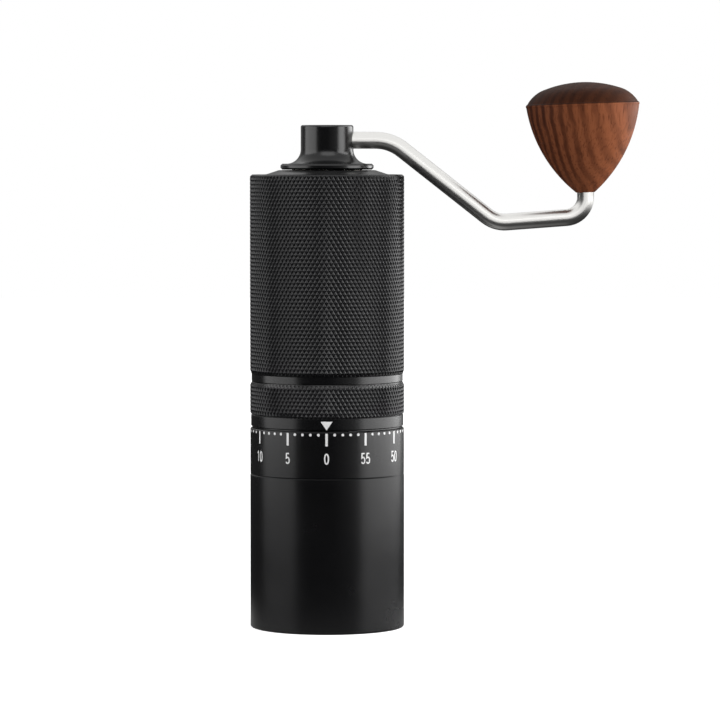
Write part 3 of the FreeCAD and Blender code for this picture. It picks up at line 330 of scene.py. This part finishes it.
def moulded(name, code, roughness, ior):
    """A moulded polymer or rubber: a soft even gloss over a slightly uneven skin with a 0.3 mm texture."""
    material, tree = begin(name)
    place = node(tree, "ShaderNodeTexCoord")
    skin = node(
        tree, "ShaderNodeTexNoise", {"Vector": place.outputs["Object"], "Scale": 1 / 0.0003, "Detail": 2.0}
    )
    rough = node(
        tree,
        "ShaderNodeMapRange",
        {"Value": skin.outputs["Fac"], "To Min": roughness - 0.08, "To Max": roughness + 0.08},
    )
    tint = linear(code)
    pale = [min(1.0, 1.12 * c) for c in tint[:3]] + [1.0]
    colour = node(tree, "ShaderNodeMix", {0: skin.outputs["Fac"], 6: tint, 7: pale}, data_type="RGBA")
    bump = node(tree, "ShaderNodeBump", {"Height": skin.outputs["Fac"], "Strength": 0.1, "Distance": 0.00003})
    shader = node(
        tree,
        "ShaderNodeBsdfPrincipled",
        {
            "Base Color": colour.outputs[2],
            "Roughness": rough.outputs["Result"],
            "IOR": ior,
            "Normal": bump.outputs["Normal"],
        },
    )
    node(tree, "ShaderNodeOutputMaterial", {"Surface": shader.outputs["BSDF"]})
    return material


def polished_steel():
    """Satin polished stainless steel rod: a soft bright gloss, with marks from the buff about 1.2 mm across."""
    colours = bpy.context.scene.grinder.colours
    material, tree = begin("stainless_steel_polished")
    place = node(tree, "ShaderNodeTexCoord")
    buff = node(
        tree, "ShaderNodeTexNoise", {"Vector": place.outputs["Object"], "Scale": 1 / 0.0012, "Detail": 4.0}
    )
    rough = node(
        tree, "ShaderNodeMapRange", {"Value": buff.outputs["Fac"], "To Min": 0.26, "To Max": 0.34}
    )
    bump = node(tree, "ShaderNodeBump", {"Height": buff.outputs["Fac"], "Strength": 0.03, "Distance": 0.00002})
    shader = node(
        tree,
        "ShaderNodeBsdfPrincipled",
        {
            "Base Color": linear(colours.steel),
            "Metallic": 1.0,
            "Roughness": rough.outputs["Result"],
            "Normal": bump.outputs["Normal"],
        },
    )
    node(tree, "ShaderNodeOutputMaterial", {"Surface": shader.outputs["BSDF"]})
    return material


def oiled_walnut():
    """Turned and oiled walnut: warm brown early wood with soft dark growth lines about 3.4 mm apart that stand upright
    and sweep round the knob, fine pores of about 0.3 by 5 mm, and a low sheen from the oil. Painted shade darkens
    the knob's left side.
    The end grain of the dome drinks more oil and looks darker, and the dome also carries painted shade: faces that look
    upwards are painted darker."""
    colours = bpy.context.scene.grinder.colours
    material, tree = begin("walnut_turned_oiled")
    place = node(tree, "ShaderNodeTexCoord")
    middle = (KNOB_LOW + KNOB_HIGH) / 2
    # The heart of the log lies 70 mm behind the knob's left side, and the knob is painted darker towards it as shade
    heart = node(
        tree,
        "ShaderNodeVectorMath",
        {0: place.outputs["Object"], 1: (middle.x - 0.063, middle.y + 0.031, middle.z)},
        operation="SUBTRACT",
    )
    wander = node(
        tree, "ShaderNodeTexNoise", {"Vector": heart.outputs["Vector"], "Scale": 1 / 0.016, "Detail": 3.0}
    )
    sway = node(
        tree,
        "ShaderNodeVectorMath",
        {0: wander.outputs["Color"], 1: (0.005, 0.005, 0.0), 2: heart.outputs["Vector"]},
        operation="MULTIPLY_ADD",
    )
    growth = node(
        tree,
        "ShaderNodeTexWave",
        {"Vector": sway.outputs["Vector"], "Scale": WAVE_PITCH / 0.0034, "Distortion": 1.6, "Detail": 3.0},
        wave_type="RINGS",
        rings_direction="Z",
    )
    late = node(
        tree,
        "ShaderNodeMapRange",
        {"Value": growth.outputs["Fac"], "From Min": 0.1, "From Max": 1.0, "To Max": 0.55},
        interpolation_type="SMOOTHSTEP",
    )
    # Some years grow paler than others
    years = node(
        tree,
        "ShaderNodeMapRange",
        {"Value": wander.outputs["Fac"], "From Min": 0.35, "From Max": 0.65, "To Min": 0.35, "To Max": 1.0},
    )
    # Painted shade: the wood grows paler away from the heart, so the knob's left side is painted darker
    across = node(
        tree, "ShaderNodeVectorMath", {0: sway.outputs["Vector"], 1: (1.0, 1.0, 0.0)}, operation="MULTIPLY"
    )
    reach = node(tree, "ShaderNodeVectorMath", {0: across.outputs["Vector"]}, operation="LENGTH")
    painted_left_shade = node(
        tree,
        "ShaderNodeMapRange",
        {"Value": reach.outputs["Value"], "From Min": 0.054, "From Max": 0.088, "To Min": 0.82, "To Max": 0.0},
    )
    strength = node(
        tree,
        "ShaderNodeMath",
        {0: late.outputs["Result"], 1: years.outputs["Result"], 2: painted_left_shade.outputs["Result"]},
        operation="MULTIPLY_ADD",
        use_clamp=True,
    )
    wood = node(
        tree,
        "ShaderNodeMix",
        {0: strength.outputs[0], 6: linear(colours.walnut_light), 7: linear(colours.walnut_dark)},
        data_type="RGBA",
    )
    stretched = node(
        tree,
        "ShaderNodeVectorMath",
        {0: sway.outputs["Vector"], 1: (1 / 0.0006, 1 / 0.0006, 1 / 0.010)},
        operation="MULTIPLY",
    )
    pores = node(
        tree, "ShaderNodeTexNoise", {"Vector": stretched.outputs["Vector"], "Scale": 1.0, "Detail": 2.0}
    )
    pitted = node(
        tree,
        "ShaderNodeMapRange",
        {"Value": pores.outputs["Fac"], "From Min": 0.50, "From Max": 0.75, "To Max": 0.55},
    )
    grained = node(
        tree,
        "ShaderNodeMix",
        {0: pitted.outputs["Result"], 6: wood.outputs[2], 7: linear(colours.walnut_pore)},
        data_type="RGBA",
    )
    # Darker end grain and painted shade: faces that look upwards are painted darker
    facing = node(tree, "ShaderNodeSeparateXYZ", {0: place.outputs["Normal"]})
    end_grain_and_painted_shade = node(
        tree,
        "ShaderNodeMapRange",
        {"Value": facing.outputs["Z"], "From Min": 0.15, "From Max": 0.6, "To Max": 0.8},
        interpolation_type="SMOOTHSTEP",
    )
    colour = node(
        tree,
        "ShaderNodeMix",
        {0: end_grain_and_painted_shade.outputs["Result"], 6: grained.outputs[2], 7: linear(colours.walnut_end)},
        data_type="RGBA",
    )
    rough = node(
        tree,
        "ShaderNodeMapRange",
        {"Value": pores.outputs["Fac"], "To Min": 0.42, "To Max": 0.64},
    )
    bump = node(
        tree,
        "ShaderNodeBump",
        {"Height": pitted.outputs["Result"], "Strength": 0.2, "Distance": 0.00005},
        invert=True,
    )
    shader = node(
        tree,
        "ShaderNodeBsdfPrincipled",
        {
            "Base Color": colour.outputs[2],
            "Roughness": rough.outputs["Result"],
            "IOR": 1.45,
            "Specular IOR Level": 0.08,
            "Normal": bump.outputs["Normal"],
        },
    )
    node(tree, "ShaderNodeOutputMaterial", {"Surface": shader.outputs["BSDF"]})
    return material


def mark_fill():
    """Pad printed epoxy ink: matt pale grey, a little thinner in places, so it looks faintly mottled."""
    colours = bpy.context.scene.grinder.colours
    material, tree = begin("epoxy_ink_pad_printed")
    place = node(tree, "ShaderNodeTexCoord")
    cover = node(
        tree, "ShaderNodeTexNoise", {"Vector": place.outputs["Object"], "Scale": 1 / 0.0006, "Detail": 3.0}
    )
    ink = linear(colours.mark)
    thin = [0.8 * c for c in ink[:3]] + [1.0]
    colour = node(tree, "ShaderNodeMix", {0: cover.outputs["Fac"], 6: thin, 7: ink}, data_type="RGBA")
    rough = node(
        tree, "ShaderNodeMapRange", {"Value": cover.outputs["Fac"], "To Min": 0.5, "To Max": 0.7}
    )
    shader = node(
        tree,
        "ShaderNodeBsdfPrincipled",
        {"Base Color": colour.outputs[2], "Roughness": rough.outputs["Result"]},
    )
    node(tree, "ShaderNodeOutputMaterial", {"Surface": shader.outputs["BSDF"]})
    return material


def mesh_data(name, mesh):
    """A mesh datablock from a bmesh, which is freed."""
    data = bpy.data.meshes.new(name)
    mesh.to_mesh(data)
    mesh.free()
    return data


def along(profile, height):
    """A value from a list of (height, value) stations."""
    for (low, first), (high, last) in zip(profile, profile[1:]):
        if height <= high:
            return first + (last - first) * max(0.0, (height - low) / (high - low))
    return profile[-1][1]


def knurl_mesh(name, low, high, roots, crests):
    """A sleeve of diamond pyramids with flat crests, cut off level at both ends."""
    sizes = bpy.context.scene.grinder.knurl
    columns = 2 * sizes.around
    rows = max(2, round((high - low) / (sizes.rise / 2)))
    turn = 2 * math.pi / columns
    step = (high - low) / rows
    share = sizes.crest
    mesh = bmesh.new()
    corners = {}
    for j in range(rows + 1):
        height = low + j * step
        for i in range(j % 2, columns, 2):
            corners[i, j] = mesh.verts.new(spread(along(roots, height), i * turn, height))
    for j in range(rows + 1):
        height = low + j * step
        for i in range((j + 1) % 2, columns, 2):
            left = corners[(i - 1) % columns, j]
            right = corners[(i + 1) % columns, j]
            below = corners[i, j - 1] if j > 0 else None
            above = corners[i, j + 1] if j < rows else None
            crest_left = mesh.verts.new(spread(along(crests, height), (i - share) * turn, height))
            crest_right = mesh.verts.new(spread(along(crests, height), (i + share) * turn, height))
            crest = [crest_left, crest_right]
            if above:
                top = height + share * step
                crest_above = mesh.verts.new(spread(along(crests, top), i * turn, top))
                mesh.faces.new((crest_right, right, above, crest_above))
                mesh.faces.new((crest_above, above, left, crest_left))
                crest.append(crest_above)
            else:
                mesh.faces.new((left, crest_left, crest_right, right))
            if below:
                foot = height - share * step
                crest_below = mesh.verts.new(spread(along(crests, foot), i * turn, foot))
                mesh.faces.new((crest_left, left, below, crest_below))
                mesh.faces.new((crest_below, below, right, crest_right))
                crest.insert(1, crest_below)
            else:
                mesh.faces.new((right, crest_right, crest_left, left))
            mesh.faces.new(crest)
    return mesh_data(name, mesh)


# Centre lines of the digits, on a cell one wide and one high
DIGITS = {
    "0": [[(0.5, 1), (0.16, 0.9), (0, 0.62), (0, 0.38), (0.16, 0.1), (0.5, 0),
           (0.84, 0.1), (1, 0.38), (1, 0.62), (0.84, 0.9), (0.5, 1)]],
    "1": [[(0.12, 0.8), (0.58, 1), (0.58, 0)]],
    "2": [[(0.04, 0.74), (0.14, 0.92), (0.48, 1), (0.84, 0.92), (0.94, 0.72), (0.84, 0.52), (0, 0), (1, 0)]],
    "3": [[(0.02, 1), (0.94, 1), (0.46, 0.6), (0.8, 0.55), (0.98, 0.36), (0.94, 0.14), (0.6, 0), (0.24, 0.02),
           (0, 0.14)]],
    "4": [[(0.74, 0), (0.74, 1), (0, 0.28), (1, 0.28)]],
    "5": [[(0.92, 1), (0.16, 1), (0.08, 0.54), (0.36, 0.62), (0.7, 0.6), (0.94, 0.46), (1, 0.3), (0.9, 0.1),
           (0.54, 0), (0.2, 0.04), (0, 0.16)]],
}


def ribbon(points, width):
    """Both edges of a line of even width, as pairs of flat points."""
    pairs = []
    closed = points[0] == points[-1]
    for k, here in enumerate(points):
        before = points[k - 1] if k > 0 else (points[-2] if closed else None)
        after = points[k + 1] if k + 1 < len(points) else (points[1] if closed else None)
        ways = []
        if before:
            ways.append((here - before).normalized())
        if after:
            ways.append((after - here).normalized())
        mean = sum(ways, Vector((0, 0))).normalized()
        side = Vector((-mean.y, mean.x))
        reach = width / 2 / max(0.45, side.dot(Vector((-ways[0].y, ways[0].x))))
        pairs.append((here + side * reach, here - side * reach))
    return pairs


def plate(mesh, outline, radius, floor, angle):
    """A flat outline bent round the axis, with walls down to the floor of its pocket."""
    upper = [mesh.verts.new(spread(radius, angle + x / radius, z)) for x, z in outline]
    lower = [mesh.verts.new(spread(floor, angle + x / radius, z)) for x, z in outline]
    mesh.faces.new(upper)
    count = len(outline)
    for k in range(count):
        after = (k + 1) % count
        mesh.faces.new((upper[after], upper[k], lower[k], lower[after]))


def outward_data(name, mesh):
    """A mesh datablock whose faces look outwards."""
    bmesh.ops.recalc_face_normals(mesh, faces=mesh.faces)
    return mesh_data(name, mesh)


def mirror_rays(tree, seen):
    """One for a ray that comes from a reflection, and zero for any other."""
    return node(
        tree,
        "ShaderNodeMath",
        {0: seen.outputs["Is Glossy Ray"], 1: seen.outputs["Is Transmission Ray"]},
        operation="MAXIMUM",
    )


def matt_paper():
    """Matt white paper for the floor: it keeps the shadow, and fine fibres of about 2 mm mottle it faintly.
    In reflections it glows with painted light near the object and before the right box.
    """
    colours = bpy.context.scene.grinder.colours
    material, tree = begin("paper_matt_white")
    seen = node(tree, "ShaderNodeLightPath")
    place = node(tree, "ShaderNodeTexCoord")
    away = node(tree, "ShaderNodeVectorMath", {0: place.outputs["Object"]}, operation="LENGTH")
    # To the eye the paper turns fully white away from the object, and in reflections it glows with painted light near
    # the object
    view_lift = node(
        tree,
        "ShaderNodeMapRange",
        {"Value": away.outputs["Value"], "From Min": 0.15, "From Max": 0.8, "To Min": 0.78, "To Max": 1.0},
        interpolation_type="SMOOTHSTEP",
    )
    glow_near_object = node(
        tree,
        "ShaderNodeMapRange",
        {"Value": away.outputs["Value"], "From Min": 0.03, "From Max": 0.13, "To Min": 0.3, "To Max": 0.03},
        interpolation_type="SMOOTHSTEP",
    )
    # In reflections the paper also glows with painted light before the right box
    spread_out = node(tree, "ShaderNodeSeparateXYZ", {0: place.outputs["Object"]})
    glow_before_right_box = node(
        tree,
        "ShaderNodeMapRange",
        {"Value": spread_out.outputs["X"], "From Min": 0.25, "From Max": 0.7, "To Max": 0.9},
        interpolation_type="SMOOTHSTEP",
    )
    level = node(
        tree,
        "ShaderNodeMath",
        {0: glow_near_object.outputs["Result"], 1: glow_before_right_box.outputs["Result"]},
        operation="MAXIMUM",
    )
    mirrored = mirror_rays(tree, seen)
    view_part = node(
        tree,
        "ShaderNodeMath",
        {0: seen.outputs["Is Camera Ray"], 1: view_lift.outputs["Result"]},
        operation="MULTIPLY",
    )
    fibre = node(
        tree, "ShaderNodeTexNoise", {"Vector": place.outputs["Object"], "Scale": 1 / 0.002, "Detail": 3.0}
    )
    paper = node(
        tree,
        "ShaderNodeMix",
        {0: fibre.outputs["Fac"], 6: linear(colours.fibre), 7: linear(colours.floor)},
        data_type="RGBA",
    )
    matt = node(tree, "ShaderNodeBsdfDiffuse", {"Color": paper.outputs[2]})
    glow = node(tree, "ShaderNodeEmission", {"Strength": view_part.outputs[0]})
    both = node(tree, "ShaderNodeAddShader", {0: matt.outputs[0], 1: glow.outputs[0]})
    # Painted light: in reflections the paper glows instead of showing its matt surface
    painted_glow = node(tree, "ShaderNodeEmission", {"Strength": level.outputs[0]})
    paper_seen = node(
        tree, "ShaderNodeMixShader", {0: mirrored.outputs[0], 1: both.outputs[0], 2: painted_glow.outputs[0]}
    )
    node(tree, "ShaderNodeOutputMaterial", {"Surface": paper_seen.outputs[0]})
    return material


def studio_world():
    """The world: white behind the object, a dim grey as a light, and in reflections a dark room with a pale backdrop
    and a white ceiling."""
    world = bpy.data.worlds.new("studio")
    world.use_nodes = True
    tree = world.node_tree
    tree.nodes.clear()
    seen = node(tree, "ShaderNodeLightPath")
    way = node(tree, "ShaderNodeTexCoord")
    part = node(tree, "ShaderNodeSeparateXYZ", {0: way.outputs["Generated"]})
    backdrop = node(
        tree,
        "ShaderNodeMapRange",
        {"Value": part.outputs["Y"], "From Min": 0.3, "From Max": 0.9, "To Min": 0.03, "To Max": 0.3},
        interpolation_type="SMOOTHSTEP",
    )
    ceiling = node(
        tree,
        "ShaderNodeMapRange",
        {"Value": part.outputs["Z"], "From Min": 0.2, "From Max": 0.5, "To Max": 0.95},
        interpolation_type="SMOOTHSTEP",
    )
    room_level = node(
        tree,
        "ShaderNodeMath",
        {0: backdrop.outputs["Result"], 1: ceiling.outputs["Result"]},
        operation="MAXIMUM",
    )
    mirrored = mirror_rays(tree, seen)
    white = node(tree, "ShaderNodeBackground", {"Color": (1, 1, 1, 1), "Strength": 1.0})
    grey = node(tree, "ShaderNodeBackground", {"Color": (1, 1, 1, 1), "Strength": 0.18})
    room = node(tree, "ShaderNodeBackground", {"Color": (1, 1, 1, 1), "Strength": room_level.outputs[0]})
    light = node(
        tree, "ShaderNodeMixShader", {0: mirrored.outputs[0], 1: grey.outputs[0], 2: room.outputs[0]}
    )
    pick = node(
        tree, "ShaderNodeMixShader", {0: seen.outputs["Is Camera Ray"], 1: light.outputs[0], 2: white.outputs[0]}
    )
    node(tree, "ShaderNodeOutputWorld", {"Surface": pick.outputs[0]})
    return world


class GRINDER_OT_anodised_shell(bpy.types.Operator):
    """Gives the body, dial, lid and hub their black anodised finish"""

    bl_idname = "grinder.anodised_shell"
    bl_label = "Anodised shell"

    def execute(self, context):
        shell = anodised("aluminium_black_anodised", False)
        dress(shell, "catch_cup", "dial_ring", "grip_barrel", "adjusting_ring", "hopper_lid", "crank_hub")
        return {"FINISHED"}


class GRINDER_OT_knurling(bpy.types.Operator):
    """Adds the knurled sleeves of the grip and of the adjusting ring"""

    bl_idname = "grinder.knurling"
    bl_label = "Knurling"

    def execute(self, context):
        sizes = context.scene.grinder.knurl
        paled = anodised("aluminium_black_anodised_knurled", True)
        crest = BODY_RADIUS - 0.000005
        root = BODY_RADIUS - sizes.depth + 0.00001
        # Where a sleeve ends on a bevel, its crests end this far above the sunk roots
        last_crest = 0.00001
        # Length over which the crests run out at a square end
        run_out = 0.0003
        # Grip: it runs out over the bevel at its foot and over a short length at its top
        top = BARREL_HIGH.z - 0.0004
        foot = BARREL_HIGH.z - sizes.grip + 0.0001
        full = foot + sizes.bevel
        sunk = root - 0.00018
        grip_roots = [(foot, sunk), (full, root), (top, root)]
        grip_crests = [(foot, sunk + last_crest), (full, crest), (top - run_out, crest), (top, root + 0.00008)]
        grip = knurl_mesh("grip_knurl", foot, top, grip_roots, grip_crests)
        piece("grip_knurl", grip, paled, "barrel")
        # Band: it runs out over a short length at its foot and over the bevel at its top
        foot = RING_HIGH.z - sizes.band + 0.0003
        top = RING_HIGH.z - 0.0001
        full = RING_HIGH.z - sizes.band_bevel
        sunk = root - 0.00028
        band_roots = [(foot, root), (full, root), (top, sunk)]
        band_crests = [(foot, crest - 0.00012), (foot + run_out, crest), (full, crest), (top, sunk + last_crest)]
        band = knurl_mesh("band_knurl", foot, top, band_roots, band_crests)
        piece("band_knurl", band, paled, "adjuster")
        return {"FINISHED"}


class GRINDER_OT_dial_marks(bpy.types.Operator):
    """Fills the ticks and dots of the dial and prints its numbers"""

    bl_idname = "grinder.dial_marks"
    bl_label = "Dial marks"

    def execute(self, context):
        sizes = context.scene.grinder.marks
        ink = mark_fill()
        skin = DIAL_HIGH.x
        face = skin - FILL_GAP
        floor = skin - sizes.depth + FLOOR_GAP
        top = DIAL_HIGH.z - sizes.tick_top
        half = sizes.tick_width / 2 - FILL_GAP
        low = top - sizes.tick_height + FILL_GAP
        high = top - FILL_GAP
        tick = [(-half, low), (0, low), (half, low), (half, high), (0, high), (-half, high)]
        reach = sizes.dot_radius - FILL_GAP
        rim = [2 * math.pi * m / 20 for m in range(20)]
        dot = [(reach * math.cos(a), top - sizes.dot_radius + reach * math.sin(a)) for a in rim]
        ticks = bmesh.new()
        dots = bmesh.new()
        for k in range(DIVISIONS):
            angle = FRONT - 2 * math.pi * k / DIVISIONS
            if k % NUMBERED == 0:
                plate(ticks, tick, face, floor, angle)
            else:
                plate(dots, dot, face, floor, angle)
        piece("dial_tick_fill", outward_data("dial_tick_fill", ticks), ink, "barrel")
        piece("dial_dot_fill", outward_data("dial_dot_fill", dots), ink, "barrel")
        numbers = bmesh.new()
        wide = sizes.digit_width - sizes.digit_stroke
        tall = sizes.digit_height - sizes.digit_stroke
        base = DIAL_HIGH.z - sizes.digit_drop - tall / 2
        pitch = sizes.digit_width + sizes.digit_space
        print_skin = skin + INK_HEIGHT
        for k in range(0, DIVISIONS, NUMBERED):
            angle = FRONT - 2 * math.pi * k / DIVISIONS
            text = str(k)
            for place, letter in enumerate(text):
                start = (place - (len(text) - 1) / 2) * pitch - wide / 2
                for stroke in DIGITS[letter]:
                    line = [Vector((start + x * wide, base + y * tall)) for x, y in stroke]
                    pairs = ribbon(line, sizes.digit_stroke)
                    rails = [
                        [numbers.verts.new(spread(print_skin, angle + p.x / skin, p.y)) for p in pair]
                        for pair in pairs
                    ]
                    for one, two in zip(rails, rails[1:]):
                        numbers.faces.new((one[0], one[1], two[1], two[0]))
        piece("dial_numbers", mesh_data("dial_numbers", numbers), ink, "barrel")
        return {"FINISHED"}


class GRINDER_OT_index_mark(bpy.types.Operator):
    """Fills the index triangle of the adjusting ring"""

    bl_idname = "grinder.index_mark"
    bl_label = "Index mark"

    def execute(self, context):
        sizes = context.scene.grinder.marks
        skin = BODY_RADIUS - INDEX_INSET
        side_gap, tip_gap, face_gap = 0.00003, 0.00004, 0.00001
        tip = RING_LOW.z + sizes.index_rise
        half = sizes.index_width / 2 - side_gap
        high = tip + sizes.index_height - side_gap
        middle = (tip + high) / 2
        edge = [(0, tip + tip_gap), (half / 2, middle), (half, high), (0, high), (-half, high), (-half / 2, middle)]
        mesh = bmesh.new()
        plate(mesh, edge, skin - face_gap, skin - sizes.depth + FLOOR_GAP, FRONT)
        data = outward_data("index_fill", mesh)
        piece("index_fill", data, bpy.data.materials["epoxy_ink_pad_printed"], "adjuster")
        return {"FINISHED"}


class GRINDER_OT_crank_finish(bpy.types.Operator):
    """Polishes the crank rod and the loose steel balls"""

    bl_idname = "grinder.crank_finish"
    bl_label = "Crank rod"

    def execute(self, context):
        dress(polished_steel(), "crank_arm", "click_ball", "upper_bearing_balls", "lower_bearing_balls")
        return {"FINISHED"}


class GRINDER_OT_knob_finish(bpy.types.Operator):
    """Gives the knob its oiled walnut and its bush turned brass"""

    bl_idname = "grinder.knob_finish"
    bl_label = "Walnut knob"

    def execute(self, context):
        dress(oiled_walnut(), "knob")
        dress(machined("brass_turned", "#C9A35A", 0.32, 0.0004), "knob_bush")
        return {"FINISHED"}


class GRINDER_OT_works_finish(bpy.types.Operator):
    """Gives the works inside the barrel their metals and polymers"""

    bl_idname = "grinder.works_finish"
    bl_label = "Grinding works"

    def execute(self, context):
        dress(
            machined("aluminium_turned", "#D3D4D6", 0.36, 0.0004), "upper_bridge", "lower_bridge", "burr_carrier"
        )
        dress(
            machined("steel_turned", "#B9B9BC", 0.30, 0.0004),
            "drive_shaft", "burr_washer", "burr_nut", "outer_burr_screws", "drive_socket", "dial_pins",
            "upper_bearing_outer_ring", "upper_bearing_inner_ring", "lower_bearing_outer_ring",
            "lower_bearing_inner_ring",
        )
        dress(machined("steel_hardened_ground", "#A9A9AD", 0.26, 0.0003), "inner_burr", "outer_burr")
        dress(
            machined("spring_steel_drawn", "#7C7C81", 0.34, 0.0003),
            "click_spring", "carrier_spring", "upper_bridge_snap_ring", "lower_bridge_snap_ring", "shaft_circlips",
            "lid_circlip", "arm_grub_screw", "knob_retaining_ring",
        )
        dress(machined("nickel_plated_magnet", "#C8C6C0", 0.18, 0.0005), "cup_magnets", "dial_magnets")
        dress(
            moulded("acetal_moulded", "#D8D3C6", 0.42, 1.48), "lid_bush", "upper_bearing_cage", "lower_bearing_cage"
        )
        dress(moulded("silicone_rubber_moulded", "#161617", 0.6, 1.41), "lid_oring")
        return {"FINISHED"}


class GRINDER_OT_carrier_spring(bpy.types.Operator):
    """Replaces the carrier's spring with a copy of its coil that rides on the barrel"""

    bl_idname = "grinder.carrier_spring"
    bl_label = "Carrier spring"

    def execute(self, context):
        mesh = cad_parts["carrier_spring"].data.copy()
        coil = piece("carrier_coil", mesh, bpy.data.materials["spring_steel_drawn"], "barrel")
        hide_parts("carrier_spring")
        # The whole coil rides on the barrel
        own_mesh(coil)
        return {"FINISHED"}


# Tall soft boxes at both sides, the right one wider and stronger, and a bank over the camera. These are far too strong
# for bare steel, so the rod is left out of them and has two weaker boxes of its own.
# Each has its place, the point it looks at, its width, its height, its radiance, and whether the rod takes its light
LAMPS = (
    ("right_box", (0.95, 0.25, 0.22), (0.0, 0.25, 0.12), 2.0, 0.8, 5.4, "EXCLUDE"),
    ("left_box", (-0.93, -0.20, 0.22), (0.0, 0.0, 0.10), 1.15, 0.8, 2.9, "EXCLUDE"),
    ("front_bank", (0.10, -1.35, 1.05), (0.0, 0.0, 0.10), 1.6, 0.9, 1.9, "EXCLUDE"),
    ("rod_side_box", (0.95, -0.03, 0.22), (0.0, -0.03, 0.12), 1.45, 0.8, 0.95, "INCLUDE"),
    ("rod_front_box", (0.20, -0.45, 0.21), (0.06, 0.0, 0.15), 0.9, 0.36, 0.9, "INCLUDE"),
)


class GRINDER_OT_stage(bpy.types.Operator):
    """Sets up the pale floor, the lamps, the world and the camera"""

    bl_idname = "grinder.stage"
    bl_label = "Stage"

    def execute(self, context):
        scene = context.scene
        sizes = scene.grinder.stage
        mesh = bmesh.new()
        bmesh.ops.create_grid(mesh, x_segments=8, y_segments=8, size=sizes.floor / 2)
        data = mesh_data("floor", mesh)
        data.materials.append(matt_paper())
        floor = bpy.data.objects.new("floor", data)
        context.collection.objects.link(floor)
        scene.world = studio_world()
        for name, spot, goal, wide, tall, radiance, rod in LAMPS:
            lamp = bpy.data.lights.new(name, "AREA")
            lamp.shape = "RECTANGLE"
            lamp.size = wide
            lamp.size_y = tall
            lamp.energy = radiance * math.pi * wide * tall
            item = bpy.data.objects.new(name, lamp)
            item.location = spot
            item.rotation_euler = (Vector(goal) - Vector(spot)).to_track_quat("-Z", "Y").to_euler()
            item.visible_camera = False
            context.collection.objects.link(item)
            lit = bpy.data.collections.new(name + "_receivers")
            lit.objects.link(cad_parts["crank_arm"])
            lit.collection_objects[0].light_linking.link_state = rod
            item.light_linking.receiver_collection = lit
        eye = bpy.data.cameras.new("photo_camera")
        eye.lens = sizes.lens
        eye.sensor_width = 36.0
        eye.clip_end = 100.0
        camera = bpy.data.objects.new("photo_camera", eye)
        camera.location = sizes.camera
        camera.rotation_euler = (math.pi / 2 - sizes.pitch, 0.0, 0.0)
        context.collection.objects.link(camera)
        scene.camera = camera
        scene.view_settings.view_transform = "Standard"
        return {"FINISHED"}


STEPS = (
    GRINDER_OT_stage,
    GRINDER_OT_anodised_shell,
    GRINDER_OT_knurling,
    GRINDER_OT_dial_marks,
    GRINDER_OT_index_mark,
    GRINDER_OT_crank_finish,
    GRINDER_OT_knob_finish,
    GRINDER_OT_works_finish,
    GRINDER_OT_carrier_spring,
)


class GRINDER_PT_sidebar(bpy.types.Panel):
    """Lists the steps that dress the grinder"""

    bl_label = "Coffee grinder"
    bl_idname = "GRINDER_PT_sidebar"
    bl_space_type = "VIEW_3D"
    bl_region_type = "UI"
    bl_category = "Grinder"

    def draw(self, context):
        for step in STEPS:
            self.layout.operator(step.bl_idname)


GROUPS = (KnurlSizes, MarkSizes, FinishColours, StageSizes, GrinderSettings)


def register():
    for item in GROUPS + STEPS + (GRINDER_PT_sidebar,):
        bpy.utils.register_class(item)
    bpy.types.Scene.grinder = PointerProperty(type=GrinderSettings)


def unregister():
    del bpy.types.Scene.grinder
    for item in reversed(GROUPS + STEPS + (GRINDER_PT_sidebar,)):
        bpy.utils.unregister_class(item)


def main():
    register()
    bpy.ops.grinder.stage()
    bpy.ops.grinder.anodised_shell()
    bpy.ops.grinder.knurling()
    bpy.ops.grinder.dial_marks()
    bpy.ops.grinder.index_mark()
    bpy.ops.grinder.crank_finish()
    bpy.ops.grinder.knob_finish()
    bpy.ops.grinder.works_finish()
    bpy.ops.grinder.carrier_spring()


if __name__ == "__main__":
    main()
